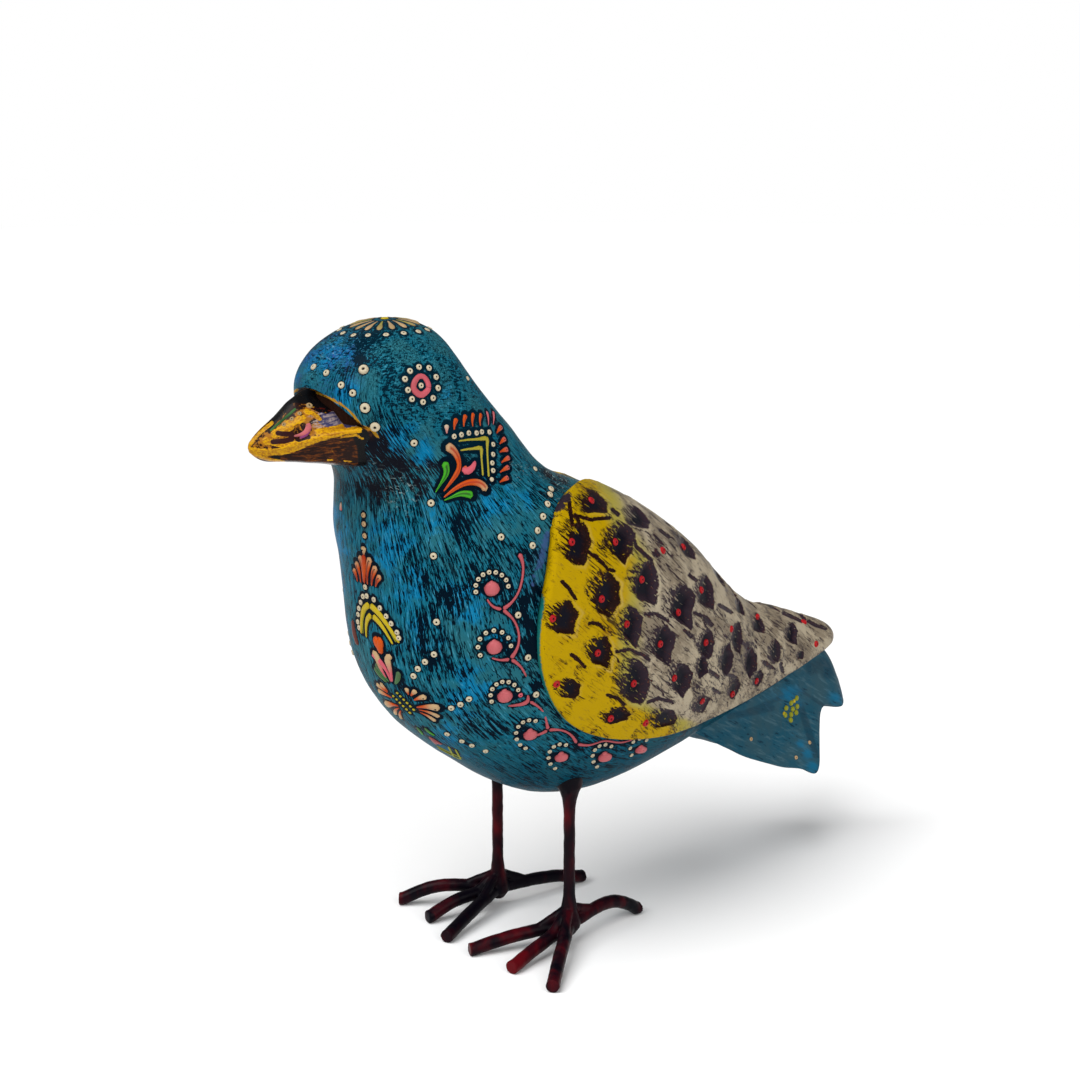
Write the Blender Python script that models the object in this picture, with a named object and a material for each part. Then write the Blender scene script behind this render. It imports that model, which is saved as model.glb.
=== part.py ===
"""Carved wooden bird that stands on two welded iron legs.

Three pieces are built: the body, which is one carved block of wood with its beak, wings
and tail, and the two legs, each welded up from iron rod. Every leg ends in a blind socket
under the belly. The bird looks along -Y, its left is +X and the ground is at Z = 0. The
origin lies on the ground, under the middle of the whole figure.

The body is drawn in millimetres, as rings that are strung along the bird from the crown
down the neck and back to the wing tips. A place on it is given as (share, turn): the share
of the way from crown to wing tips, and the turn round the ring, from 0 at the throat and
belly over 0.5 at the side to 1 at the nape and back.
"""
from collections.abc import Sequence

import bmesh
import bpy
import numpy as np
from mathutils import Vector

MM = 0.001

# Overall sizes
BODY_LENGTH = 269.0 * MM  # beak tip to tail tip
DRAWN_LENGTH = 269.0  # the same length in the drawing's units
LEG_HEIGHT = 57.6 * MM  # ground to the belly over a foot
LEG_SPACING = 40.0 * MM  # between the two shanks
UNIT = BODY_LENGTH / DRAWN_LENGTH

# Body: name, throat or belly point (y, z), nape or back point (y, z), half width
BODY_STATIONS = (
    ("crown pole", (-56.0, 219.0), (-56.0, 219.0), 0.0),
    ("crown", (-68.5, 217.0), (-45.0, 215.5), 13.5),
    ("brow", (-79.5, 211.0), (-37.5, 206.5), 22.5),
    ("eyes", (-87.5, 198.5), (-26.5, 193.0), 26.5),
    ("cheeks", (-81.5, 183.5), (-15.5, 181.0), 28.0),
    ("throat", (-73.0, 170.5), (-5.5, 169.5), 31.0),
    ("neck", (-72.0, 156.0), (6.0, 163.5), 36.0),
    ("shoulders", (-69.5, 136.0), (24.5, 155.5), 39.5),
    ("breast", (-67.0, 111.5), (42.0, 146.0), 41.0),
    ("chest", (-56.0, 88.5), (59.5, 134.0), 40.5),
    ("belly", (-32.0, 67.5), (73.0, 121.5), 38.5),
    ("keel", (-5.5, 52.5), (86.0, 110.0), 33.5),
    ("hips", (23.5, 50.5), (100.0, 101.0), 26.0),
    ("vent", (57.0, 56.0), (115.0, 96.0), 20.0),
    ("rump", (85.0, 60.5), (129.0, 91.0), 14.5),
    ("wing ends", (120.5, 70.0), (145.5, 83.5), 8.5),
    ("wing tips", (149.5, 77.5), (148.5, 78.5), 0.0),
)
RING_SQUARENESS = 2.2  # 2 is an ellipse
BODY_RINGS = 42
BODY_SIDES = 36

# Wings: the outline runs from the front of the back down the front edge and along the
# lower edge to the tip. The upper edge follows the middle of the back.
WING_OUTLINE = (
    (0.300, 0.890), (0.277, 0.800), (0.284, 0.577), (0.335, 0.486), (0.400, 0.410),
    (0.470, 0.361), (0.540, 0.348), (0.610, 0.408), (0.700, 0.447), (0.790, 0.430),
    (0.860, 0.465), (0.930, 0.560), (0.970, 0.660),
)
WING_BACK = ((0.320, 0.950), (0.972, 0.985))
WING_THICKNESS = 2.2 * MM
WING_ROOT = 2.8 * MM  # how far the plate reaches into the body
WING_EDGE_DROP = 0.8 * MM
WING_COLUMNS = 30
WING_ROWS = 12
SHARE_SPAN = 320.0  # drawing units along a share of 1, for even spacing
TURN_SPAN = 110.0

# Scooped feather marks on each wing, row by row from the shoulder to the tip
GOUGE_ROWS = (
    ((0.300, 0.720), (0.329, 0.541), (0.405, 0.454), (0.476, 0.395)),
    ((0.364, 0.810), (0.363, 0.656), (0.404, 0.535), (0.461, 0.477), (0.545, 0.410)),
    ((0.426, 0.623), (0.458, 0.543), (0.525, 0.487), (0.606, 0.462)),
    ((0.469, 0.895), (0.517, 0.760), (0.491, 0.664), (0.507, 0.567), (0.574, 0.535)),
    ((0.564, 0.635), (0.601, 0.595), (0.659, 0.507), (0.713, 0.531), (0.775, 0.530)),
    ((0.622, 0.740), (0.640, 0.650), (0.700, 0.650), (0.765, 0.684), (0.860, 0.600)),
    ((0.694, 0.839), (0.802, 0.796)),
)
GOUGE_WIDTH = 9.5 * MM
GOUGE_HEIGHT = 11.5 * MM
GOUGE_DEPTH = 1.6 * MM
GOUGE_POINT = 0.25  # how far the lower end is drawn out to a point
GOUGE_TAPER = 0.45  # how much smaller the last marks are than the first
GOUGE_SIDES = 8

# Hollow in front of each wing
HOLLOW_EDGE = ((0.300, 0.545), (0.342, 0.482), (0.406, 0.418), (0.446, 0.396))
HOLLOW_WIDTH = 0.032  # a share of the bird's length
HOLLOW_DEPTH = 1.5 * MM

# Eave of the brow over the beak
BROW_HALF_TURN = 0.235
BROW_TOP = 0.131
BROW_DROP = 0.040
BROW_CURVE = 1.6
BROW_FLOOR = 0.182
BROW_LIP = 0.002
BROW_DEPTH = 2.5 * MM
BROW_MARGIN = 3.0 * MM

# Beak: y, then half of the profile from the top ridge round the mouth rim to the underside
BEAK_STATIONS = (
    (-64.0, ((0.0, 204.0), (3.0, 203.5), (15.0, 199.0), (20.5, 190.0), (18.5, 187.5), (12.0, 175.0), (0.0, 173.5))),
    (-77.0, ((0.0, 203.0), (2.6, 202.6), (13.5, 198.0), (18.8, 188.3), (17.0, 186.0), (10.5, 176.2), (0.0, 174.7))),
    (-85.0, ((0.0, 201.5), (2.3, 201.0), (10.6, 196.0), (14.3, 187.3), (12.8, 185.2), (8.5, 177.7), (0.0, 176.4))),
    (-90.0, ((0.0, 199.8), (2.1, 199.2), (8.4, 194.0), (11.2, 186.3), (9.8, 184.4), (7.0, 178.4), (0.0, 177.2))),
    (-95.5, ((0.0, 195.6), (1.9, 194.9), (6.1, 190.8), (7.9, 184.8), (6.8, 183.2), (5.2, 179.2), (0.0, 178.0))),
    (-100.7, ((0.0, 191.6), (1.7, 190.9), (4.2, 187.9), (5.2, 183.5), (4.4, 182.3), (3.4, 179.8), (0.0, 178.7))),
    (-105.5, ((0.0, 188.4), (1.2, 187.7), (2.5, 185.8), (2.9, 183.2), (2.4, 182.4), (1.9, 181.0), (0.0, 180.0))),
    (-108.3, ((0.0, 185.8), (0.6, 185.3), (1.1, 184.4), (1.2, 183.4), (1.0, 183.0), (0.7, 182.5), (0.0, 182.2))),
)
BEAK_TIP = (-109.0, 184.0)
BEAK_RINGS = 12

# Tail: y, then half of the profile from the top over the side and the flared edge to the
# shallow hollow underneath
TAIL_STATIONS = (
    (62.0, ((0.0, 80.0), (13.0, 73.0), (12.5, 66.0), (12.0, 62.5), (9.5, 63.5), (0.0, 64.0))),
    (81.0, ((0.0, 80.0), (14.5, 71.0), (14.5, 61.5), (17.0, 51.2), (14.6, 51.2), (0.0, 56.0))),
    (90.0, ((0.0, 80.0), (13.5, 71.5), (14.0, 59.5), (18.0, 46.2), (15.4, 46.3), (0.0, 50.5))),
    (99.0, ((0.0, 80.0), (12.0, 72.0), (13.2, 58.5), (18.6, 42.4), (16.0, 42.6), (0.0, 45.8))),
    (110.5, ((0.0, 80.0), (10.3, 74.0), (12.2, 57.0), (19.0, 38.0), (16.3, 38.2), (0.0, 41.5))),
    (118.0, ((0.0, 80.0), (9.3, 75.0), (11.4, 56.4), (19.8, 35.8), (17.2, 36.1), (0.0, 39.5))),
    (125.2, ((0.0, 80.0), (8.0, 76.0), (10.4, 56.8), (20.0, 33.8), (17.5, 34.2), (0.0, 38.0))),
    (131.7, ((0.0, 79.5), (6.5, 76.0), (9.0, 58.4), (14.5, 43.7), (12.2, 44.0), (0.0, 46.5))),
    (136.6, ((0.0, 79.0), (5.2, 76.0), (8.0, 60.0), (9.6, 51.7), (7.8, 51.5), (0.0, 51.5))),
    (140.5, ((0.0, 78.0), (4.4, 75.0), (7.0, 61.5), (8.1, 54.2), (6.3, 53.4), (0.0, 51.2))),
    (147.0, ((0.0, 75.0), (2.8, 71.5), (6.1, 61.0), (7.7, 52.9), (6.0, 51.9), (0.0, 50.6))),
    (152.5, ((0.0, 68.5), (1.9, 65.5), (4.6, 58.5), (7.0, 51.5), (5.4, 50.9), (0.0, 50.2))),
    (156.0, ((0.0, 62.0), (1.0, 60.5), (2.6, 56.5), (4.2, 52.2), (3.2, 51.6), (0.0, 51.0))),
)
TAIL_TIP = (157.6, 55.5)
TAIL_RINGS = 26

# Legs
SHANK_RADIUS = 2.0 * MM
COLLAR_RADIUS = 4.6 * MM
COLLAR_HEIGHT = 11.0 * MM  # from where the shank starts to widen up to the belly
COLLAR_INSET = 4.5 * MM  # how far the full collar reaches past the belly over the foot
SOCKET_DEPTH = 13.0 * MM  # from the belly over the foot to the shank's end
SOCKET_CLEARANCE = 0.3 * MM
LEG_SIDES = 12
HUB_HEIGHT = 7.4 * MM
HUB_RADIUS = 4.4 * MM
TOE_RADIUS = 2.4 * MM
TOE_SIDES = 8
TOE_FLAT = 1.5 * MM  # the last stretch, which lies on the ground
TOE_STEPS = 6
# Toes: name, degrees from straight ahead towards the bird's left, length from the shank, arch
LEFT_TOES = (("inner", -22.0, 35.8 * MM, 0.8 * MM), ("middle", 12.0, 31.5 * MM, 0.2 * MM),
             ("outer", 42.0, 39.0 * MM, 0.6 * MM), ("back", 185.0, 35.5 * MM, 4.6 * MM))
RIGHT_TOES = (("outer", -41.0, 36.0 * MM, 3.2 * MM), ("middle", -8.0, 29.0 * MM, 1.8 * MM),
              ("inner", 22.0, 36.0 * MM, 0.3 * MM), ("back", 176.0, 38.5 * MM, 1.4 * MM))

# Colours
BODY_BLUE = (0.03, 0.22, 0.33, 1.0)
LEG_BLACK = (0.02, 0.012, 0.014, 1.0)


def natural_spline(knots: np.ndarray, values: np.ndarray, at: np.ndarray,
                   level_start: Sequence[int] = ()) -> np.ndarray:
    """Cubic spline through values at knots; the columns in level_start leave it level."""
    count = len(knots)
    gap = np.diff(knots)
    bend = np.zeros_like(values)
    for column in range(values.shape[1]):
        matrix = np.zeros((count, count))
        right = np.zeros(count)
        slope = np.diff(values[:, column]) / gap
        for row in range(1, count - 1):
            matrix[row, row - 1:row + 2] = gap[row - 1], 2 * (gap[row - 1] + gap[row]), gap[row]
            right[row] = 6 * (slope[row] - slope[row - 1])
        matrix[0, 0] = matrix[-1, -1] = 1
        if column in level_start:
            matrix[0, :2] = 2 * gap[0], gap[0]
            right[0] = 6 * slope[0]
        bend[:, column] = np.linalg.solve(matrix, right)
    span = np.clip(np.searchsorted(knots, at, side="right") - 1, 0, count - 2)
    width = gap[span][:, None]
    after = (at - knots[span])[:, None]
    before = width - after
    return ((bend[span] * before ** 3 + bend[span + 1] * after ** 3) / (6 * width)
            + (values[span] / width - bend[span] * width / 6) * before
            + (values[span + 1] / width - bend[span + 1] * width / 6) * after)


def chord_knots(points: np.ndarray) -> np.ndarray:
    """Knots as far apart as the points are, from 0."""
    return np.concatenate([[0.0], np.cumsum(np.linalg.norm(np.diff(points, axis=0), axis=1))])


def signed_power(value: np.ndarray, power: float) -> np.ndarray:
    """Power of the size of a value, with the value's sign."""
    return np.sign(value) * np.abs(value) ** power


STATION_TABLE = np.array([[*front, *back, half] for _, front, back, half in BODY_STATIONS])
STATION_KNOTS = chord_knots(STATION_TABLE)


def drawn_body(shares: np.ndarray, turns: np.ndarray) -> np.ndarray:
    """Drawing points of the body for arrays of shares and turns of one shape."""
    shares, turns = np.broadcast_arrays(np.asarray(shares, float), np.asarray(turns, float))
    ring = natural_spline(STATION_KNOTS, STATION_TABLE, shares.ravel() * STATION_KNOTS[-1], (1, 3))
    angle = turns.ravel() * np.pi
    middle = 0.5 * (ring[:, 0:2] + ring[:, 2:4])
    reach = 0.5 * (ring[:, 0:2] - ring[:, 2:4])
    ahead = signed_power(np.cos(angle), 2 / RING_SQUARENESS)
    aside = signed_power(np.sin(angle), 2 / RING_SQUARENESS)
    points = np.column_stack([ring[:, 4] * aside, middle + reach * ahead[:, None]])
    return points.reshape(*shares.shape, 3)


def belly_over(across: float) -> float:
    """Drawn height of the belly above a foot that stands this far from the middle."""
    shares, turns = np.meshgrid(np.linspace(0.45, 0.85, 240), np.linspace(0.0, 0.45, 120))
    points = drawn_body(shares, turns).reshape(-1, 3)
    nearest = np.argmin(np.hypot(points[:, 0] - across, points[:, 1]))
    return float(points[nearest, 2])


LIFT = LEG_HEIGHT - belly_over(0.5 * LEG_SPACING / UNIT) * UNIT


def placed(points: np.ndarray) -> np.ndarray:
    """Metres for points of the drawing, with the belly at its height over the feet."""
    return np.asarray(points) * UNIT + np.array([0.0, 0.0, LIFT])


def body_surface(shares: np.ndarray, turns: np.ndarray) -> tuple[np.ndarray, np.ndarray]:
    """Points of the body and the outward normals there."""
    step = 1e-4
    points = placed(drawn_body(shares, turns))
    along = placed(drawn_body(np.asarray(shares) + step, turns)) - points
    around = placed(drawn_body(shares, np.asarray(turns) + step)) - points
    normals = np.cross(along, around)
    return points, normals / np.linalg.norm(normals, axis=-1, keepdims=True)


def add_object(name: str, bm: bmesh.types.BMesh, colour: Sequence[float]) -> bpy.types.Object:
    """Object from a closed bmesh, with its own material and its faces turned outwards."""
    bmesh.ops.recalc_face_normals(bm, faces=bm.faces[:])
    mesh = bpy.data.meshes.new(name)
    bm.to_mesh(mesh)
    bm.free()
    material = bpy.data.materials.new(f"{name}_material")
    material.use_nodes = True
    material.node_tree.nodes["Principled BSDF"].inputs["Base Color"].default_value = colour
    mesh.materials.append(material)
    made = bpy.data.objects.new(name, mesh)
    bpy.context.scene.collection.objects.link(made)
    return made


def lofted(name: str, rings: Sequence[np.ndarray], colour: Sequence[float],
           start: np.ndarray | None = None, end: np.ndarray | None = None) -> bpy.types.Object:
    """Closed solid over rings of equal length; each end is a point or a flat cap."""
    bm = bmesh.new()
    loops = [[bm.verts.new(point) for point in ring] for ring in rings]
    for lower, upper in zip(loops, loops[1:]):
        for index in range(len(lower)):
            after = (index + 1) % len(lower)
            bm.faces.new((lower[index], lower[after], upper[after], upper[index]))
    for loop, tip in ((loops[0], start), (loops[-1], end)):
        if tip is None:
            bm.faces.new(loop)
            continue
        apex = bm.verts.new(tip)
        for index in range(len(loop)):
            bm.faces.new((loop[index], loop[(index + 1) % len(loop)], apex))
    return add_object(name, bm, colour)


def patch_solid(name: str, outer: np.ndarray, inner: np.ndarray,
                colour: Sequence[float]) -> bpy.types.Object:
    """Closed solid between two grids of points of the same shape."""
    bm = bmesh.new()
    top, bottom = ([[bm.verts.new(point) for point in row] for row in grid] for grid in (outer, inner))
    rows, columns = len(top), len(top[0])
    for sheet in (top, bottom):
        for row in range(rows - 1):
            for column in range(columns - 1):
                bm.faces.new((sheet[row][column], sheet[row][column + 1],
                              sheet[row + 1][column + 1], sheet[row + 1][column]))
    border = ([(0, column) for column in range(columns)]
              + [(row, columns - 1) for row in range(1, rows)]
              + [(rows - 1, column) for column in range(columns - 2, -1, -1)]
              + [(row, 0) for row in range(rows - 2, 0, -1)])
    for (row, column), (next_row, next_column) in zip(border, border[1:] + border[:1]):
        bm.faces.new((top[row][column], top[next_row][next_column],
                      bottom[next_row][next_column], bottom[row][column]))
    return add_object(name, bm, colour)


def combine(target: bpy.types.Object, tools: Sequence[bpy.types.Object], operation: str) -> None:
    """Boolean the tools into the target one after another, then remove them."""
    for tool in tools:
        tool.hide_render = True
        tool.display_type = "WIRE"
        modifier = target.modifiers.new(tool.name, "BOOLEAN")
        modifier.operation = operation
        modifier.solver = "EXACT"
        modifier.object = tool
        depsgraph = bpy.context.evaluated_depsgraph_get()
        evaluated = target.evaluated_get(depsgraph)
        result = bpy.data.meshes.new_from_object(evaluated)
        old = target.data
        target.modifiers.remove(modifier)
        result.name = old.name
        target.data = result
        bpy.data.meshes.remove(old)
        bpy.data.objects.remove(tool, do_unlink=True)


def mirrored(points: np.ndarray, side: int) -> np.ndarray:
    """Points on the left for side 1, and on the right for side -1."""
    return points * np.array([side, 1.0, 1.0])


def edge_spacing(count: int, first: float) -> np.ndarray:
    """Shares from 0 to 1 with one close step at each end."""
    return np.concatenate([[0.0], np.linspace(first, 1.0 - first, count - 2), [1.0]])


def make_body_core() -> bpy.types.Object:
    """The plain body from crown to wing tips."""
    shares = np.linspace(0.0, 1.0, BODY_RINGS + 2)[1:-1]
    turns = np.linspace(0.0, 2.0, BODY_SIDES, endpoint=False)
    rings = placed(drawn_body(shares[:, None], turns[None, :]))
    poles = placed(drawn_body(np.array([0.0, 1.0]), np.array([0.0, 0.0])))
    return lofted("body", rings, BODY_BLUE, poles[0], poles[1])


def make_brow_cutter() -> bpy.types.Object:
    """What is carved away under the brow, round the root of the beak."""
    turns = np.linspace(-BROW_HALF_TURN, BROW_HALF_TURN, 13)
    eave = BROW_TOP + BROW_DROP * np.abs(turns / BROW_HALF_TURN) ** BROW_CURVE
    floor = eave + (BROW_FLOOR - eave) * (1 - np.abs(turns / BROW_HALF_TURN) ** 4) + BROW_LIP
    shares = np.linspace(eave, floor, 5)
    points, normals = body_surface(shares, np.broadcast_to(turns, shares.shape))
    return patch_solid("brow_cutter", points + normals * BROW_MARGIN,
                       points - normals * BROW_DEPTH, BODY_BLUE)


def profile_rings(stations: Sequence[tuple], ring_count: int) -> list[np.ndarray]:
    """Full rings in metres from half profiles, with a spline from station to station."""
    knots = np.array([station[0] for station in stations])
    halves = np.array([station[1] for station in stations])
    order = np.argsort(knots)
    knots, halves = knots[order], halves[order]
    places = np.linspace(knots[0], knots[-1], ring_count)
    smooth = natural_spline(knots, halves.reshape(len(knots), -1), places).reshape(ring_count, -1, 2)
    rings = []
    for place, half in zip(places, smooth):
        other = half[-2:0:-1] * np.array([-1.0, 1.0])
        ring = np.concatenate([half, other])
        rings.append(placed(np.column_stack([ring[:, 0], np.full(len(ring), place), ring[:, 1]])))
    return rings


def make_beak() -> bpy.types.Object:
    """Both halves of the closed beak, with its root inside the head."""
    rings = profile_rings(BEAK_STATIONS, BEAK_RINGS)
    return lofted("beak", rings, BODY_BLUE, start=placed(np.array([0.0, *BEAK_TIP])))


def make_tail() -> bpy.types.Object:
    """The tail: a long middle and a shorter flared lobe on either side."""
    rings = profile_rings(TAIL_STATIONS, TAIL_RINGS)
    return lofted("tail", rings, BODY_BLUE, end=placed(np.array([0.0, *TAIL_TIP])))


def wing_grid() -> tuple[np.ndarray, np.ndarray]:
    """Shares and turns of the left wing's grid, from its outline up to the back."""
    outline = np.array(WING_OUTLINE)
    scale = np.array([SHARE_SPAN, TURN_SPAN])
    knots = chord_knots(outline * scale)
    along = edge_spacing(WING_COLUMNS, 0.012)
    lower = natural_spline(knots, outline, along * knots[-1])
    upper = np.linspace(*WING_BACK, 2)
    upper = upper[0] + along[:, None] * (upper[1] - upper[0])
    across = edge_spacing(WING_ROWS, 0.035)[None, :, None]
    grid = lower[:, None, :] * (1 - across) + upper[:, None, :] * across
    return grid[..., 0], grid[..., 1]


def make_wing(side: int) -> bpy.types.Object:
    """Raised plate of one folded wing, rooted in the body."""
    points, normals = body_surface(*wing_grid())
    height = np.full(points.shape[:2], WING_THICKNESS)
    height[1, :] = height[-2, :] = height[:, 1] = height[:, -2] = 0.8 * WING_THICKNESS
    height[0, :] = height[-1, :] = height[:, 0] = height[:, -1] = -WING_EDGE_DROP
    outer = points + normals * height[..., None]
    inner = points - normals * WING_ROOT
    return patch_solid(f"wing_{side}", mirrored(outer, side), mirrored(inner, side), BODY_BLUE)


def make_gouge(place: tuple[float, float], size: float, side: int) -> bpy.types.Object:
    """Cutter for one scooped feather mark: a bowl with a drawn-out lower end."""
    point, normal = body_surface(*place)
    below, _ = body_surface(place[0], place[1] - 1e-3)
    down = below - point
    down /= np.linalg.norm(down)
    beside = np.cross(normal, down)
    centre = point + normal * WING_THICKNESS
    angles = np.linspace(0.0, 2 * np.pi, GOUGE_SIDES, endpoint=False)
    drawn_out = 1.0 + GOUGE_POINT * np.maximum(np.cos(angles), 0.0) ** 3
    outline = (down[None, :] * (np.cos(angles) * drawn_out * 0.5 * GOUGE_HEIGHT * size)[:, None]
               + beside[None, :] * (np.sin(angles) * 0.5 * GOUGE_WIDTH * size)[:, None])
    rings = [mirrored(centre + outline * reach + normal * level, side)
             for reach, level in ((1.15, GOUGE_DEPTH), (1.0, 0.0), (0.68, -0.65 * GOUGE_DEPTH))]
    deepest = mirrored(centre - normal * GOUGE_DEPTH, side)
    return lofted("gouge", rings, BODY_BLUE, end=deepest)


def make_gouges(side: int) -> list[bpy.types.Object]:
    """All the feather mark cutters of one wing, smaller towards the tip."""
    return [make_gouge(place, 1.0 - GOUGE_TAPER * max(0.0, place[0] - 0.55), side)
            for row in GOUGE_ROWS for place in row]


def make_hollow(side: int) -> bpy.types.Object:
    """Cutter for the shallow hollow in front of one wing."""
    edge = np.array(HOLLOW_EDGE)
    knots = chord_knots(edge * np.array([SHARE_SPAN, TURN_SPAN]))
    along = np.linspace(0.0, 1.0, 9)
    line = natural_spline(knots, edge, along * knots[-1])
    across = np.linspace(0.0, 1.0, 5)
    shares = line[:, None, 0] - HOLLOW_WIDTH * across[None, :] * np.sin(np.pi * (0.1 + 0.8 * along))[:, None]
    turns = np.broadcast_to(line[:, None, 1], shares.shape)
    points, normals = body_surface(shares, turns)
    scoop = np.sin(np.pi * (0.35 + 0.65 * across))[None, :] * np.sin(np.pi * along)[:, None]
    level = 0.12 * MM - HOLLOW_DEPTH * scoop
    return patch_solid("hollow", mirrored(points + normals * 2 * MM, side),
                       mirrored(points + normals * level[..., None], side), BODY_BLUE)


def turned(name: str, profile: Sequence[tuple[float, float]], centre: tuple[float, float],
           colour: Sequence[float]) -> bpy.types.Object:
    """Solid of revolution about an upright axis from (radius, height) pairs."""
    angles = np.linspace(0.0, 2 * np.pi, LEG_SIDES, endpoint=False)
    rings = [np.column_stack([centre[0] + radius * np.cos(angles), centre[1] + radius * np.sin(angles),
                              np.full(LEG_SIDES, height)]) for radius, height in profile]
    return lofted(name, rings, colour)


def leg_profile(grow: float) -> list[tuple[float, float]]:
    """Radius and height of a leg's upper end, all of it larger by the given gap."""
    collar_start = LEG_HEIGHT - COLLAR_HEIGHT
    return [
        (SHANK_RADIUS + grow, collar_start),
        (SHANK_RADIUS + 0.22 * (COLLAR_RADIUS - SHANK_RADIUS) + grow, collar_start + 0.5 * COLLAR_HEIGHT),
        (COLLAR_RADIUS + grow, LEG_HEIGHT),
        (COLLAR_RADIUS + grow, LEG_HEIGHT + COLLAR_INSET + grow),
        (SHANK_RADIUS + grow, LEG_HEIGHT + COLLAR_INSET + grow + 0.1 * MM),
        (SHANK_RADIUS + grow, LEG_HEIGHT + SOCKET_DEPTH + grow),
    ]


def make_toe(angle: float, length: float, across: float, arch: float) -> bpy.types.Object:
    """One toe: a rod that slopes down from the weld with an arch and ends flat on the ground."""
    radians = np.radians(angle)
    ahead = np.array([np.sin(radians), -np.cos(radians), 0.0])
    beside = np.array([np.cos(radians), np.sin(radians), 0.0])
    shares = np.linspace(0.0, 1.0, TOE_STEPS + 1)
    bow = np.sin(np.pi * shares ** 1.35)
    heights = HUB_HEIGHT + (TOE_RADIUS - HUB_HEIGHT) * shares + arch * bow
    reaches = np.append(shares * (length - TOE_FLAT), length)
    heights = np.append(heights, TOE_RADIUS)
    path = ahead * reaches[:, None] + np.array([across, 0.0, 0.0]) + np.outer(heights, [0, 0, 1.0])
    around = (np.arange(TOE_SIDES) + 0.5) * 2 * np.pi / TOE_SIDES
    corner = TOE_RADIUS / np.cos(np.pi / TOE_SIDES)
    rings = []
    for index, point in enumerate(path):
        slope = path[min(index + 1, len(path) - 1)] - path[max(index - 1, 0)]
        if index >= len(path) - 2:
            slope = ahead
        upright = np.cross(slope / np.linalg.norm(slope), beside)
        upright *= np.sign(upright[2])
        rings.append(point + corner * (np.outer(np.sin(around), beside) + np.outer(np.cos(around), upright)))
    return lofted("toe", rings, LEG_BLACK)


def make_leg(name: str, side: int, toes: Sequence[tuple[str, float, float, float]]) -> bpy.types.Object:
    """One welded leg: shank with its collar, weld, three front toes and a back toe."""
    across = side * 0.5 * LEG_SPACING
    weld_top = HUB_HEIGHT + 3.0 * HUB_RADIUS
    profile = [(0.55 * HUB_RADIUS, HUB_HEIGHT - HUB_RADIUS), (0.9 * HUB_RADIUS, HUB_HEIGHT - 0.4 * HUB_RADIUS),
               (HUB_RADIUS, HUB_HEIGHT + 0.2 * HUB_RADIUS), (0.72 * HUB_RADIUS, HUB_HEIGHT + 1.1 * HUB_RADIUS),
               (SHANK_RADIUS, weld_top), *leg_profile(0.0)]
    leg = turned(name, profile, (across, 0.0), LEG_BLACK)
    parts = [make_toe(angle, length, across, arch) for _, angle, length, arch in toes]
    combine(leg, parts, "UNION")
    return leg


def make_socket(side: int) -> bpy.types.Object:
    """Cutter for the blind hole in the belly that takes one leg."""
    profile = leg_profile(SOCKET_CLEARANCE)
    return turned("socket", profile, (side * 0.5 * LEG_SPACING, 0.0), BODY_BLUE)


def centre_on_ground(objects: Sequence[bpy.types.Object]) -> None:
    """Move all the pieces so that the origin is under the middle of their bounds."""
    corners = np.array([vertex.co for item in objects for vertex in item.data.vertices])
    low, high = corners.min(axis=0), corners.max(axis=0)
    shift = Vector((-0.5 * (low[0] + high[0]), -0.5 * (low[1] + high[1]), -low[2]))
    for item in objects:
        for vertex in item.data.vertices:
            vertex.co += shift
    print(f"Moved by {tuple(round(value, 6) for value in shift)}, size {tuple(np.round(high - low, 5))}")


def clear_scene() -> None:
    """Start from an empty file."""
    for item in list(bpy.data.objects):
        bpy.data.objects.remove(item, do_unlink=True)


def main() -> None:
    """Build the three pieces."""
    clear_scene()
    body = make_body_core()
    combine(body, [make_brow_cutter()], "DIFFERENCE")
    combine(body, [make_beak(), make_tail()], "UNION")
    for side in (1, -1):
        combine(body, [make_hollow(side)], "DIFFERENCE")
        combine(body, [make_wing(side)], "UNION")
        combine(body, make_gouges(side), "DIFFERENCE")
        combine(body, [make_socket(side)], "DIFFERENCE")
    legs = [make_leg("left_leg", 1, LEFT_TOES), make_leg("right_leg", -1, RIGHT_TOES)]
    centre_on_ground([body, *legs])
    for item in (body, *legs):
        print(item.name, "faces", len(item.data.polygons),
              "triangles", sum(len(face.vertices) - 2 for face in item.data.polygons))


main()
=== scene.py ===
"""Looks of the painted wooden bird: carved body, folded wings, beak, tail, raised cone paint and iron legs.

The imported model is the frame. Every piece here is built from the same named form as the solids, with more
rings and columns, and the painted ornament is placed by photograph pixels that are cast onto the carved
surface. The bird looks along -Y, its left is +X, and what is painted on its left is mirrored to its right.
"""
import logging
import math
from collections.abc import Sequence
from dataclasses import dataclass, field
from enum import Enum

import bmesh
import bpy
import numpy as np
from mathutils import Matrix, Vector, noise
from mathutils.bvhtree import BVHTree
from mathutils.kdtree import KDTree


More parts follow.
